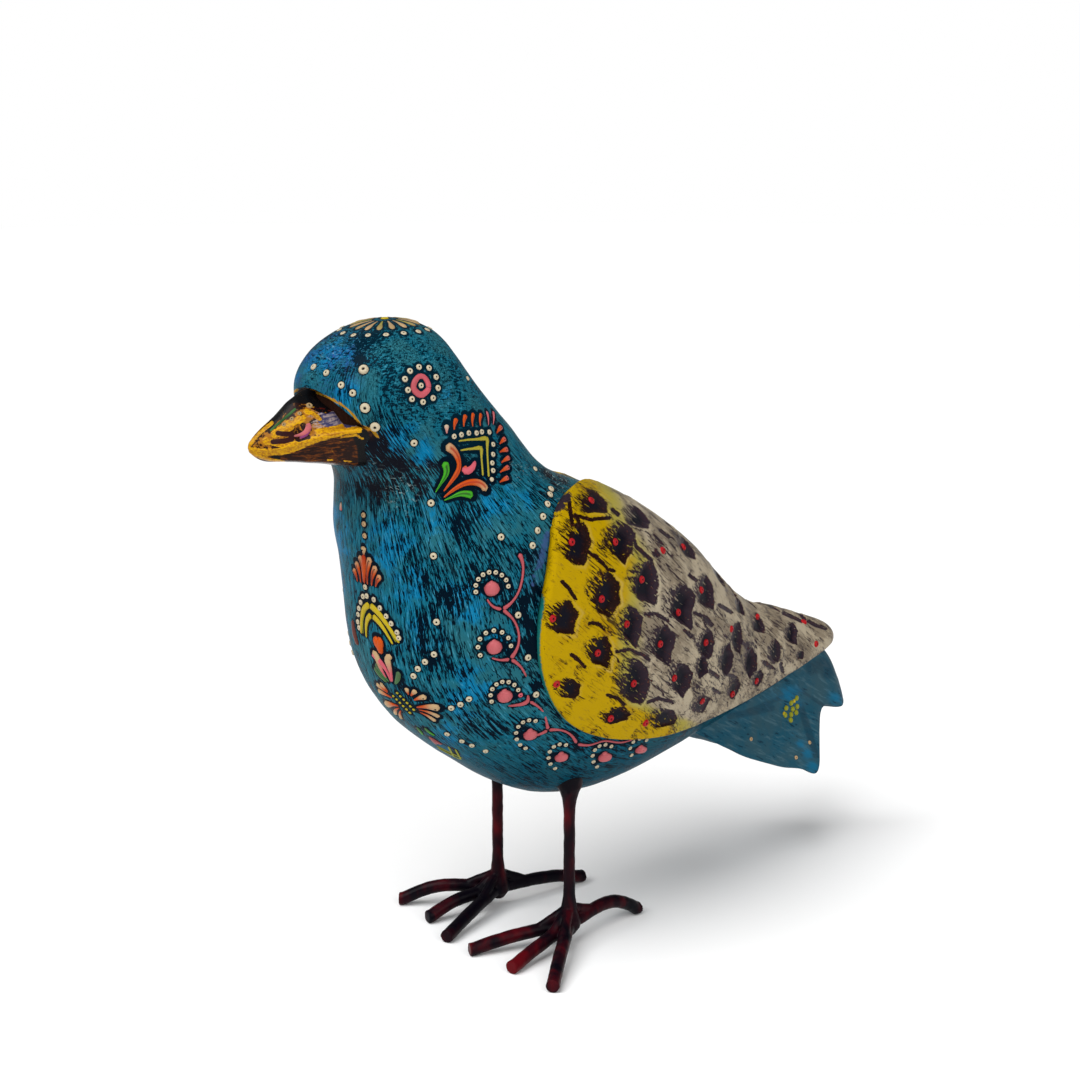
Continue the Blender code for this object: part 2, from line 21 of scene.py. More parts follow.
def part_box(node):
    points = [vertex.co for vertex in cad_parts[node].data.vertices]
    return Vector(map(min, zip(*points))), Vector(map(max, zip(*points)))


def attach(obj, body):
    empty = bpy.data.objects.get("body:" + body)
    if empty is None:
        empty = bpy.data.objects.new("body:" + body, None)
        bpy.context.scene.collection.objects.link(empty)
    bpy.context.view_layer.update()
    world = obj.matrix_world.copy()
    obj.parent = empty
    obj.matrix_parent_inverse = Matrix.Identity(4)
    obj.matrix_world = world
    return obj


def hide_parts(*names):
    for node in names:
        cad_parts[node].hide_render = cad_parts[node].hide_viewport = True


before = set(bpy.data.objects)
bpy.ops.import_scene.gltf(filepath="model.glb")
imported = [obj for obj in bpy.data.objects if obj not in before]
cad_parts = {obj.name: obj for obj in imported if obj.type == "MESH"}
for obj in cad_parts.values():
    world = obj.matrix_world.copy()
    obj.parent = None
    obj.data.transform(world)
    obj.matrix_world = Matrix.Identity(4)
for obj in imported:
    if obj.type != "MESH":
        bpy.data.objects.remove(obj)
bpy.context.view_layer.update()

LOG = logging.getLogger("bird")

MM = 0.001
IMAGE_SIDE = 1080.0  # photograph's frame, in pixels
PIXELS_PER_MM = 2.8  # at the bird's middle
Pixel = tuple[float, float]
Colour = tuple[float, float, float, float]
Array = np.ndarray
Object = bpy.types.Object
Mesh = bpy.types.Mesh
Material = bpy.types.Material
Socket = bpy.types.NodeSocket


def shade(red: float, green: float, blue: float) -> Colour:
    """Linear colour from display values of 0 to 255."""
    parts = [value / 255.0 for value in (red, green, blue)]
    return (*[part / 12.92 if part <= 0.04045 else ((part + 0.055) / 1.055) ** 2.4 for part in parts], 1.0)


class Paint(Enum):
    """Ready-mixed colours of the cone paint."""

    CREAM = shade(186, 174, 148)
    BEIGE = shade(176, 146, 108)
    PINK = shade(190, 84, 96)
    BLUSH = shade(180, 92, 96)
    SALMON = shade(166, 76, 82)
    LEMON = shade(152, 142, 44)
    BARK = shade(70, 26, 16)
    PINE = shade(24, 62, 20)
    UMBER = shade(92, 50, 44)
    TAN = shade(150, 126, 88)
    ROSE = shade(140, 74, 76)
    ORANGE = shade(184, 72, 14)
    RUST = shade(150, 44, 20)
    YELLOW = shade(176, 154, 24)
    OLIVE = shade(132, 134, 30)
    GREEN = shade(60, 150, 30)
    MOSS = shade(58, 104, 56)
    SAGE = shade(66, 92, 62)
    PURPLE = shade(120, 50, 96)
    RED = shade(158, 20, 26)
    PIT = shade(16, 10, 10)


class Axis(Enum):
    """What a motif is repeated across."""

    NONE = "painted once"
    BIRD = "the bird's middle plane"
    OWN = "the motif's own middle line"


def smoothstep(low: float, high: float, value: Array) -> Array:
    """Smooth rise from 0 at low to 1 at high."""
    share = np.clip((np.asarray(value, float) - low) / (high - low), 0.0, 1.0)
    return share * share * (3.0 - 2.0 * share)


def natural_spline(knots: Array, values: Array, at: Array,
                   level_start: Sequence[int] = ()) -> Array:
    """Cubic spline through values at knots.

    Args:
        knots: rising positions of the values.
        values: one row per knot.
        at: positions to read.
        level_start: columns that leave the first knot level.

    Returns:
        One row per position in at.
    """
    count = len(knots)
    gap = np.diff(knots)
    bend = np.zeros_like(values)
    for column in range(values.shape[1]):
        matrix = np.zeros((count, count))
        right = np.zeros(count)
        slope = np.diff(values[:, column]) / gap
        for row in range(1, count - 1):
            matrix[row, row - 1:row + 2] = gap[row - 1], 2 * (gap[row - 1] + gap[row]), gap[row]
            right[row] = 6 * (slope[row] - slope[row - 1])
        matrix[0, 0] = matrix[-1, -1] = 1
        if column in level_start:
            matrix[0, :2] = 2 * gap[0], gap[0]
            right[0] = 6 * slope[0]
        bend[:, column] = np.linalg.solve(matrix, right)
    span = np.clip(np.searchsorted(knots, at, side="right") - 1, 0, count - 2)
    width = gap[span][:, None]
    after = (at - knots[span])[:, None]
    before = width - after
    return ((bend[span] * before ** 3 + bend[span + 1] * after ** 3) / (6 * width)
            + (values[span] / width - bend[span] * width / 6) * before
            + (values[span + 1] / width - bend[span + 1] * width / 6) * after)


def chord_knots(points: Array) -> Array:
    """Knots as far apart as the points are, from 0."""
    return np.concatenate([[0.0], np.cumsum(np.linalg.norm(np.diff(points, axis=0), axis=1))])


def signed_power(value: Array, power: float) -> Array:
    """Power of the size of a value, with the value's sign."""
    return np.sign(value) * np.abs(value) ** power


def unit(vectors: Array) -> Array:
    """Vectors scaled to a length of 1; a vector of no length stays as it is."""
    return vectors / np.maximum(np.linalg.norm(vectors, axis=-1, keepdims=True), 1e-12)


def ripple(points: Array, wavelength: float, seed: float) -> Array:
    """Smooth noise of about -1 to 1 at each point."""
    flat = points.reshape(-1, 3) / wavelength + seed
    return np.array([noise.noise(Vector(row)) for row in flat]).reshape(points.shape[:-1])


def grid_normals(points: Array) -> Array:
    """Normals of a grid of points, across its rows and columns."""
    return unit(np.cross(np.gradient(points, axis=0), np.gradient(points, axis=1)))


def add_object(name: str, data: bpy.types.ID) -> Object:
    """New object of the scene.

    Args:
        name: the object's name.
        data: its mesh, lamp or camera.

    Returns:
        The object, at the origin.
    """
    made = bpy.data.objects.new(name, data)
    bpy.context.scene.collection.objects.link(made)
    return made


def mesh_of(name: str, bm: bmesh.types.BMesh) -> Mesh:
    """Mesh of a finished bmesh.

    Args:
        name: the mesh's name.
        bm: the bmesh, which is freed.

    Returns:
        The mesh.
    """
    mesh = bpy.data.meshes.new(name)
    bm.to_mesh(mesh)
    bm.free()
    return mesh


def numbers(items: bpy.types.bpy_prop_collection, key: str, width: int = 3) -> Array:
    """The same numbers of every item.

    Args:
        items: vertices or the like.
        key: which of their values.
        width: how many numbers each value has.

    Returns:
        One row for each item.
    """
    flat = np.zeros(len(items) * width)
    items.foreach_get(key, flat)
    return flat.reshape(-1, width)


def gathered(found: Sequence[tuple[Array, Array]]) -> tuple[Array, Array]:
    """Points and normals that were found one by one, as two arrays."""
    return np.array([point for point, _ in found]), unit(np.array([normal for _, normal in found]))


def spread(shares: Array, values: Sequence[float]) -> Array:
    """Values evenly spaced from start to end, read at shares of the way."""
    return np.interp(shares, np.linspace(0.0, 1.0, len(values)), values)


@dataclass(frozen=True)
class PhotoCamera:
    """The camera that took the photograph, worked out from the feet and the outline."""

    place: tuple[float, float, float] = (0.48321, -0.4162, 0.2841)
    aim: tuple[float, float, float] = (-0.755, 0.616, -0.2255)
    focal_pixels: float = 1888.8
    sensor: float = 36.0

    def axes(self) -> tuple[Array, Array, Array]:
        """Right, up and forward directions.

        Returns:
            The three directions, each of length 1.
        """
        forward = unit(np.array(self.aim))
        right = unit(np.cross(forward, [0.0, 0.0, 1.0]))
        return right, np.cross(right, forward), forward

    def ray(self, pixel: Pixel) -> tuple[Vector, Vector]:
        """Start and direction of the sight line through a pixel.

        Args:
            pixel: where the line passes.

        Returns:
            The camera's place and the line's direction.
        """
        right, up, forward = self.axes()
        half = 0.5 * IMAGE_SIDE
        across = (pixel[0] - half) / self.focal_pixels
        above = (half - pixel[1]) / self.focal_pixels
        return Vector(self.place), Vector(unit(forward + across * right + above * up))

    def pixels(self, points: Array) -> Array:
        """Pixel of every point.

        Args:
            points: places in the frame.

        Returns:
            Columns and rows, counted from the top left.
        """
        right, up, forward = self.axes()
        seen = points - np.array(self.place)
        depth = seen @ forward
        half = 0.5 * IMAGE_SIDE
        return np.stack([half + self.focal_pixels * (seen @ right) / depth,
                         half - self.focal_pixels * (seen @ up) / depth], axis=-1)

    def build(self) -> None:
        """Put the camera in the scene."""
        right, up, forward = self.axes()
        data = bpy.data.cameras.new("photo_camera")
        data.sensor_width = self.sensor
        data.lens = self.focal_pixels * self.sensor / IMAGE_SIDE
        camera = add_object("photo_camera", data)
        turn = Matrix((right, up, -forward)).transposed().to_4x4()
        camera.matrix_world = Matrix.Translation(self.place) @ turn
        bpy.context.scene.camera = camera


def shell(name: str, points: Array, flow: Array, values: dict[str, Array]) -> Object:
    """Closed piece over a grid of points that is wrapped round on itself.

    Args:
        name: the piece's name.
        points: grid of points, whose last column repeats its first.
        flow: grid of two lengths that follow the surface, for the piece's UV map.
        values: grids of numbers to keep as attributes.

    Returns:
        The piece, with its faces outwards.
    """
    rows, columns = points.shape[:2]
    bm = bmesh.new()
    bmesh.ops.create_grid(bm, x_segments=rows - 1, y_segments=columns - 1, size=1.0)
    mesh = mesh_of(name, bm)
    flat = numbers(mesh.vertices, "co")[:, :2]
    place = (flat - flat.min(axis=0)) / np.ptp(flat, axis=0) * (rows - 1, columns - 1)
    row, column = np.rint(place).astype(int).T
    mesh.vertices.foreach_set("co", points[row, column].ravel())
    corners = np.zeros(len(mesh.loops), int)
    mesh.loops.foreach_get("vertex_index", corners)
    mesh.uv_layers.new(name="flow").data.foreach_set("uv", flow[row, column][corners].ravel())
    for key, grid in values.items():
        put_values(mesh, key, grid[row, column])
    return close_mesh(name, mesh)


def put_values(mesh: Mesh, key: str, values: Array) -> None:
    """Keep one number for every vertex as an attribute."""
    attribute = mesh.attributes.get(key) or mesh.attributes.new(key, "FLOAT", "POINT")
    attribute.data.foreach_set("value", np.asarray(values, np.float32).ravel())


def get_values(mesh: Mesh, key: str) -> Array:
    """The attribute's number for every vertex."""
    return numbers(mesh.attributes[key].data, "value", 1)[:, 0]


def close_mesh(name: str, mesh: Mesh) -> Object:
    """Join seams, fill open ends, turn the faces outwards and make the object.

    Args:
        name: the piece's name.
        mesh: its faces, which may lie open at the seams and ends.

    Returns:
        The piece.
    """
    bm = bmesh.new()
    bm.from_mesh(mesh)
    bmesh.ops.remove_doubles(bm, verts=bm.verts[:], dist=1e-6)
    bmesh.ops.holes_fill(bm, edges=[edge for edge in bm.edges if edge.is_boundary], sides=0)
    bmesh.ops.recalc_face_normals(bm, faces=bm.faces[:])
    bm.to_mesh(mesh)
    bm.free()
    mesh.polygons.foreach_set("use_smooth", [True] * len(mesh.polygons))
    return add_object(name, mesh)


def show(piece: Object, material: Material, stands_for: str = "") -> None:
    """Dress a piece, let it ride on the bird and hide the CAD node that it takes over.

    Args:
        piece: the piece.
        material: its finish.
        stands_for: the CAD node that it takes over, if any.
    """
    piece.data.materials.clear()
    piece.data.materials.append(material)
    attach(piece, "root")
    if stands_for:
        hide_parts(stands_for)
    LOG.info("%s: %d faces", piece.name, len(piece.data.polygons))


class BirdForm:
    """The body's form, in millimetres, as rings strung from the crown back to the wing tips.

    A place is (share, turn): the share of the way from crown to wing tips, and the turn round the ring,
    from 0 at the throat and belly over 0.5 at the left side to 1 at the nape and back.
    """

    BEAK_TIP_Y = -109.0
    STATIONS = (
        ("crown pole", (-56.0, 219.0), (-56.0, 219.0), 0.0),
        ("crown", (-68.5, 217.0), (-45.0, 215.5), 13.5),
        ("brow", (-79.5, 211.0), (-37.5, 206.5), 22.5),
        ("eyes", (-87.5, 198.5), (-26.5, 193.0), 26.5),
        ("cheeks", (-81.5, 183.5), (-15.5, 181.0), 28.0),
        ("throat", (-73.0, 170.5), (-5.5, 169.5), 31.0),
        ("neck", (-72.0, 156.0), (6.0, 163.5), 36.0),
        ("shoulders", (-69.5, 136.0), (24.5, 155.5), 39.5),
        ("breast", (-67.0, 111.5), (42.0, 146.0), 41.0),
        ("chest", (-56.0, 88.5), (59.5, 134.0), 40.5),
        ("belly", (-32.0, 67.5), (73.0, 121.5), 38.5),
        ("keel", (-5.5, 52.5), (86.0, 110.0), 33.5),
        ("hips", (23.5, 50.5), (100.0, 101.0), 26.0),
        ("vent", (57.0, 56.0), (115.0, 96.0), 20.0),
        ("rump", (85.0, 60.5), (129.0, 91.0), 14.5),
        ("wing ends", (120.5, 70.0), (145.5, 83.5), 8.5),
        ("wing tips", (149.5, 77.5), (148.5, 78.5), 0.0),
    )
    SQUARENESS = 2.2
    STRETCH = (320.0, 110.0)  # about how many millimetres a whole share and a whole turn are, on a wing
    FLOW_LENGTH = 300.0 * MM  # along the body, for the flow of the brush
    FLOW_ROUND = 110.0 * MM  # half way round it

    def __init__(self) -> None:
        """Set the origin so that the beak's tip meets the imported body's."""
        low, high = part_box("body")
        self.table = np.array([[*front, *back, half] for _, front, back, half in self.STATIONS])
        self.knots = chord_knots(self.table)
        self.origin = np.array([0.5 * (low.x + high.x), low.y - self.BEAK_TIP_Y * MM, 0.0])

    def placed(self, drawn: Array) -> Array:
        """Metres in the frame for drawn millimetres."""
        return np.asarray(drawn, float) * MM + self.origin

    def mirrored(self, points: Array) -> Array:
        """The same points on the bird's other side."""
        return np.asarray(points) * (-1.0, 1.0, 1.0) + (2.0 * self.origin[0], 0.0, 0.0)

    def points(self, shares: Array, turns: Array) -> Array:
        """Points of the plain body for arrays of shares and turns.

        Args:
            shares: shares of the way from crown to wing tips.
            turns: turns round the rings.

        Returns:
            Places in the frame, in metres.
        """
        shares, turns = np.broadcast_arrays(np.asarray(shares, float), np.asarray(turns, float))
        ring = natural_spline(self.knots, self.table, shares.ravel() * self.knots[-1], (1, 3))
        angle = turns.ravel() * np.pi
        middle = 0.5 * (ring[:, 0:2] + ring[:, 2:4])
        reach = 0.5 * (ring[:, 0:2] - ring[:, 2:4])
        ahead = signed_power(np.cos(angle), 2 / self.SQUARENESS)
        aside = signed_power(np.sin(angle), 2 / self.SQUARENESS)
        drawn = np.column_stack([ring[:, 4] * aside, middle + reach * ahead[:, None]])
        return self.placed(drawn.reshape(*shares.shape, 3))

    def surface(self, shares: Array, turns: Array) -> tuple[Array, Array]:
        """Points of the body and the outward normals there.

        Args:
            shares: shares of the way.
            turns: turns round the rings.

        Returns:
            Places and directions.
        """
        step = 1e-4
        points = self.points(shares, turns)
        along = self.points(np.asarray(shares) + step, turns) - points
        around = self.points(shares, np.asarray(turns) + step) - points
        return points, unit(np.cross(along, around))


class PhotoMask:
    """Masks on a piece's points, drawn at the photograph's pixels and alike on both sides of the bird."""

    def __init__(self, points: Array, normals: Array, form: BirdForm, camera: PhotoCamera) -> None:
        """Find the pixel of every point, and how far it faces the camera.

        Args:
            points: places on the piece.
            normals: outward directions there.
            form: says where the bird's middle is.
            camera: finds the pixels.
        """
        far = points[..., :1] < form.origin[0]
        points = np.where(far, form.mirrored(points), points)
        normals = np.where(far, normals * (-1.0, 1.0, 1.0), normals)
        self.points = points
        self.pixels = camera.pixels(points)
        facing = np.sum(normals * unit(np.array(camera.place) - points), axis=-1)
        self.seen = smoothstep(-0.15, 0.12, facing)

    @classmethod
    def of_piece(cls, piece: Object, form: BirdForm, camera: PhotoCamera) -> "PhotoMask":
        """Masks on the points of a finished mesh."""
        vertices = piece.data.vertices
        return cls(numbers(vertices, "co"), numbers(vertices, "normal"), form, camera)

    def blots(self, blots: Sequence[tuple[Pixel, float, float]]) -> Array:
        """Soft blots, each with its middle, its radius in pixels and its strength.

        Args:
            blots: their rows.

        Returns:
            Strength at each point, fading where it can't be seen.
        """
        total = np.zeros(self.seen.shape)
        for middle, radius, strength in blots:
            far = np.linalg.norm(self.pixels - middle, axis=-1) / radius
            total = np.maximum(total, strength * np.exp(-far ** 2))
        return total * self.seen

    def lines(self, lines: Sequence[tuple[Sequence[Pixel], float]]) -> Array:
        """Soft-edged lines, each with its pixels and its width in pixels.

        Args:
            lines: their rows.

        Returns:
            Strength at each point, fading where it can't be seen.
        """
        total = np.zeros(self.seen.shape)
        for pixels, width in lines:
            total = np.maximum(total, smoothstep(0.75, 0.25, self.away(pixels) / width))
        return total * self.seen

    def away(self, pixels: Sequence[Pixel]) -> Array:
        """Distance in pixels from a line through pixels.

        Args:
            pixels: points of the line.

        Returns:
            Distance of each point.
        """
        drawn = np.array(pixels, float)
        nearest = np.full(self.seen.shape, 1e9)
        for start, end in zip(drawn, drawn[1:]):
            along = end - start
            part = np.clip((self.pixels - start) @ along / (along @ along), 0.0, 1.0)
            away = np.linalg.norm(self.pixels - start - part[..., None] * along, axis=-1)
            nearest = np.minimum(nearest, away)
        return nearest


@dataclass
class CarvedBody:
    """The body from crown to wing tips, with the brow's eave and the hollows in front of the wings."""

    form: BirdForm
    front_rings: int = 250
    rear_rings: int = 80
    sides: int = 256
    brow_top: float = 0.131
    brow_drop: float = 0.040
    brow_curve: float = 2.1
    brow_half_turn: float = 0.235
    brow_floor: float = 0.182
    brow_step: float = 0.0014
    brow_depth: float = 2.5 * MM
    hollow_depth: float = 1.5 * MM
    hollow_width: float = 0.032
    hollow_edge: tuple[Pixel, ...] = ((0.300, 0.545), (0.342, 0.482), (0.406, 0.418), (0.446, 0.396))
    carving_depth: float = 0.22 * MM
    piece: Object = field(init=False)

    def ring_places(self) -> Array:
        """Ring positions from crown to tips, close together at the brow's edge.

        Returns:
            Rising shares.
        """
        front = np.linspace(0.0, 0.5, self.front_rings)
        rear = np.linspace(0.5, 1.0, self.rear_rings)[1:]
        edge = self.brow_top + self.brow_step * np.array([-1.0, -0.4, 0.0, 0.5, 1.0, 1.6])
        kept = front[(front < edge[0] - 0.001) | (front > edge[-1] + 0.001)]
        return np.sort(np.concatenate([kept, edge, rear]))

    def warped(self, places: Array, away: Array) -> Array:
        """Shares of the rings, bent so that one ring follows the brow's edge.

        Args:
            places: ring positions.
            away: turn from the middle, as a share of the brow's.

        Returns:
            Shares along the body.
        """
        drop = self.brow_drop * np.where(away < 1.0, away ** self.brow_curve,
                                         1.0 - smoothstep(1.0, 2.6, away))
        reach = np.interp(places, [0.03, self.brow_top, 0.33], [0.0, 1.0, 0.0])
        return places + drop * reach

    def build(self) -> None:
        """Shape the body."""
        form = self.form
        places = self.ring_places()[:, None]
        turns = np.linspace(-1.0, 1.0, self.sides + 1)[None, :]
        turns = turns - 0.06 * np.sin(2 * np.pi * turns) / np.pi
        away = np.abs(turns) / self.brow_half_turn
        shares = self.warped(places, away)
        shares, turns = np.broadcast_arrays(shares, turns)
        points, normals = form.surface(shares, turns)
        under = (np.clip((places - self.brow_top) / self.brow_step, 0.0, 1.0)
                 * (1.0 - smoothstep(self.brow_floor - 0.024, self.brow_floor + 0.006, shares))
                 * (1.0 - smoothstep(0.86, 1.02, away)))
        edge = np.array(self.hollow_edge)
        knots = chord_knots(edge * form.STRETCH)
        line = natural_spline(knots, edge, np.linspace(0.0, knots[-1], 60))
        front = np.interp(np.abs(turns), line[::-1, 1], line[::-1, 0], left=line[-1, 0], right=line[0, 0])
        span = smoothstep(line[-1, 1], line[-1, 1] + 0.03, np.abs(turns))
        span = span * (1.0 - smoothstep(line[0, 1] - 0.03, line[0, 1], np.abs(turns)))
        before = (front - shares) / self.hollow_width
        scoop = span * np.clip(1.0 - np.clip(before, 0.0, 1.0) ** 1.5, 0.0, 1.0) * (before > -0.8)
        carving = ripple(points, 11 * MM, 3.0) + 0.4 * ripple(points, 5 * MM, 9.0)
        calm = smoothstep(0.0, 0.02, shares)
        height = (self.carving_depth * carving * calm * (1 - under) - self.brow_depth * under
                  - self.hollow_depth * scoop)
        points = points + normals * height[..., None]
        points[0] = form.points(np.array([0.0]), np.array([0.0]))
        points[-1] = form.points(np.array([1.0]), np.array([0.0]))
        points[:, -1] = points[:, 0]
        flow = np.stack([shares * form.FLOW_LENGTH, turns * form.FLOW_ROUND], axis=-1)
        values = {"share": shares, "turn": np.abs(turns), "under_brow": under}
        self.piece = shell("carved_body", points, flow, values)


@dataclass
class StrungPiece:
    """A piece strung from half profiles, with softened corners, and drawn to a tip at one end."""

    NAME = ""
    STATIONS = ()  # place along the bird and half profile, point by point
    COUNTS = ()  # columns between one profile point and the next
    TIP = ()  # along the bird and up, in millimetres
    FLOW = ()  # millimetres for its whole length and from one profile point to the next
    form: BirdForm
    rings: int = 150
    rounding: int = 3  # how many times each ring is softened
    tip_row: int = 0  # 0 where the tip comes first, -1 where it comes last
    piece: Object = field(init=False)

    def strung(self) -> tuple[Array, Array]:
        """Full rings over the half profiles.

        Returns:
            Grid of points whose last column repeats its first, and for each column its place on the
            half profile, counted in profile points.
        """
        knots = np.array([station[0] for station in self.STATIONS])
        halves = np.array([station[1] for station in self.STATIONS])
        order = np.argsort(knots)
        places = np.linspace(knots.min(), knots.max(), self.rings)
        smooth = natural_spline(knots[order], halves[order].reshape(len(knots), -1), places)
        smooth = smooth.reshape(self.rings, -1, 2)
        last = len(self.COUNTS)
        spots = np.concatenate([index + np.arange(count) / count for index, count in enumerate(self.COUNTS)]
                               + [[float(last)]])
        low = np.minimum(spots.astype(int), last - 1)
        part = (spots - low)[None, :, None]
        half = smooth[:, low] * (1 - part) + smooth[:, low + 1] * part
        ring = np.concatenate([half, half[:, -2:0:-1] * (-1.0, 1.0)], axis=1)
        for _ in range(self.rounding):
            ring = 0.5 * ring + 0.25 * (np.roll(ring, 1, axis=1) + np.roll(ring, -1, axis=1))
        ring = np.concatenate([ring, ring[:, :1]], axis=1)
        spots = np.concatenate([spots, spots[-2:0:-1], spots[:1]])
        across = np.broadcast_to(places[:, None], ring.shape[:2])
        return self.form.placed(np.stack([ring[..., 0], across, ring[..., 1]], axis=-1)), spots

    def relief(self, points: Array, along: Array, spots: Array) -> Array:
        """How far the surface stands out at each point; each kind of piece has its own."""
        raise NotImplementedError

    def build(self) -> None:
        """Shape the piece."""
        points, spots = self.strung()
        tip = np.broadcast_to(self.form.placed((0.0, *self.TIP)), (1, points.shape[1], 3))
        points = np.concatenate([points, tip] if self.tip_row else [tip, points])
        along = np.broadcast_to(np.linspace(0.0, 1.0, len(points))[:, None], points.shape[:2])
        spots = np.broadcast_to(spots[None, :], points.shape[:2])
        normals = grid_normals(points)
        outward = np.sign(np.sum(normals * (points - points.mean(axis=1, keepdims=True)), axis=-1))
        points = points + normals * (self.relief(points, along, spots) * outward)[..., None]
        points[:, -1] = points[:, 0]
        points[self.tip_row] = tip[0]
        flow = np.stack([along, spots], axis=-1) * np.array(self.FLOW) * MM
        self.piece = shell(self.NAME, points, flow, {"along": along, "spot": spots})


@dataclass
class Beak(StrungPiece):
    """Both halves of the closed beak, with its root inside the head."""

    NAME = "beak"
    STATIONS = (
        (-64, ((0, 204), (3, 203.5), (15, 199), (20.5, 190), (18.5, 187.5), (12, 175), (0, 173.5))),
        (-77, ((0, 203), (2.6, 202.6), (13.5, 198), (18.8, 188.3), (17, 186), (10.5, 176.2), (0, 174.7))),
        (-85,
         ((0, 201.5), (2.3, 201), (10.6, 196), (14.3, 187.3), (12.8, 185.2), (8.5, 177.7), (0, 176.4))),
        (-90, ((0, 199.8), (2.1, 199.2), (8.4, 194), (11.2, 186.3), (9.8, 184.4), (7, 178.4), (0, 177.2))),
        (-95.5,
         ((0, 195.6), (1.9, 194.9), (6.1, 190.8), (7.9, 184.8), (6.8, 183.2), (5.2, 179.2), (0, 178))),
        (-100.7,
         ((0, 191.6), (1.7, 190.9), (4.2, 187.9), (5.2, 183.5), (4.4, 182.3), (3.4, 179.8), (0, 178.7))),
        (-105.5,
         ((0, 188.4), (1.2, 187.7), (2.5, 185.8), (2.9, 183.2), (2.4, 182.4), (1.9, 181), (0, 180))),
        (-108.3,
         ((0, 185.8), (0.6, 185.3), (1.1, 184.4), (1.2, 183.4), (1, 183), (0.7, 182.5), (0, 182.2))),
    )
    TIP = (-109.0, 184.0)
    COUNTS = (5, 14, 14, 6, 14, 9)
    FLOW = (46.0, 6.0)
    root_sink: float = 5.5 * MM
    sink_from: float = 0.30
    sink_to: float = 0.62
    rim_spot: float = 3.0
    rim_height: float = 0.35 * MM
    carving: float = 0.12 * MM

    def relief(self, points: Array, along: Array, spots: Array) -> Array:
        """Raised rim between the halves, uneven carving and a sunk root.

        Args:
            points: grid of points.
            along: share of the way from the tip to the root.
            spots: place on the half profile.

        Returns:
            Heights in metres.
        """
        from_ridge = np.minimum(spots, 2 * len(self.COUNTS) - spots)
        upper = smoothstep(2.95, 2.5, from_ridge)
        aside = 0.35 + 0.65 * smoothstep(0.0, 1.2, from_ridge)
        sink = self.root_sink * upper * aside * smoothstep(self.sink_from, self.sink_to, along)
        rim = np.exp(-((spots - self.rim_spot) / 0.16) ** 2) * smoothstep(0.0, 0.1, along)
        rim = rim * (1.0 - smoothstep(0.8, 0.95, along))
        return self.rim_height * rim + self.carving * ripple(points, 4 * MM, 5.0) - sink


@dataclass
class Tail(StrungPiece):
    """The tail: a long steep middle and a shorter flared lobe on either side."""

    NAME = "tail"
    STATIONS = (
        (62, ((0, 80), (13, 73), (12.5, 66), (12, 62.5), (9.5, 63.5), (0, 64))),
        (81, ((0, 80), (14.5, 71), (14.5, 61.5), (17, 51.2), (14.6, 51.2), (0, 56))),
        (90, ((0, 80), (13.5, 71.5), (14, 59.5), (18, 46.2), (15.4, 46.3), (0, 50.5))),
        (99, ((0, 80), (12, 72), (13.2, 58.5), (18.6, 42.4), (16, 42.6), (0, 45.8))),
        (110.5, ((0, 80), (10.3, 74), (12.2, 57), (19, 38), (16.3, 38.2), (0, 41.5))),
        (118, ((0, 80), (9.3, 75), (11.4, 56.4), (19.8, 35.8), (17.2, 36.1), (0, 39.5))),
        (125.2, ((0, 80), (8, 76), (10.4, 56.8), (20, 33.8), (17.5, 34.2), (0, 38))),
        (131.7, ((0, 79.5), (6.5, 76), (9, 58.4), (14.5, 43.7), (12.2, 44), (0, 46.5))),
        (136.6, ((0, 79), (5.2, 76), (8, 60), (9.6, 51.7), (7.8, 51.5), (0, 51.5))),
        (140.5, ((0, 78), (4.4, 75), (7, 61.5), (8.1, 54.2), (6.3, 53.4), (0, 51.2))),
        (147, ((0, 75), (2.8, 71.5), (6.1, 61), (7.7, 52.9), (6, 51.9), (0, 50.6))),
        (152.5, ((0, 68.5), (1.9, 65.5), (4.6, 58.5), (7, 51.5), (5.4, 50.9), (0, 50.2))),
        (156, ((0, 62), (1, 60.5), (2.6, 56.5), (4.2, 52.2), (3.2, 51.6), (0, 51))),
    )
    TIP = (157.6, 55.5)
    COUNTS = (18, 22, 30, 5, 24)
    FLOW = (100.0, 12.0)
    rings: int = 220
    tip_row: int = -1
    carving: float = 0.25 * MM

    def relief(self, points: Array, along: Array, spots: Array) -> Array:
        """Uneven carving."""
        return self.carving * ripple(points, 9 * MM, 7.0)


@dataclass(frozen=True)
class FeatherMark:
    """One mark of a round gouge, in the photograph's pixels.

    The gouge went in shallow at the left and came out steep at the right, down to a point.
    """

    middle: Pixel
    width: float
    height: float
    point: Pixel
    depth: float = 1.6
    fill: float = 1.0
    dot: Pixel | None = None


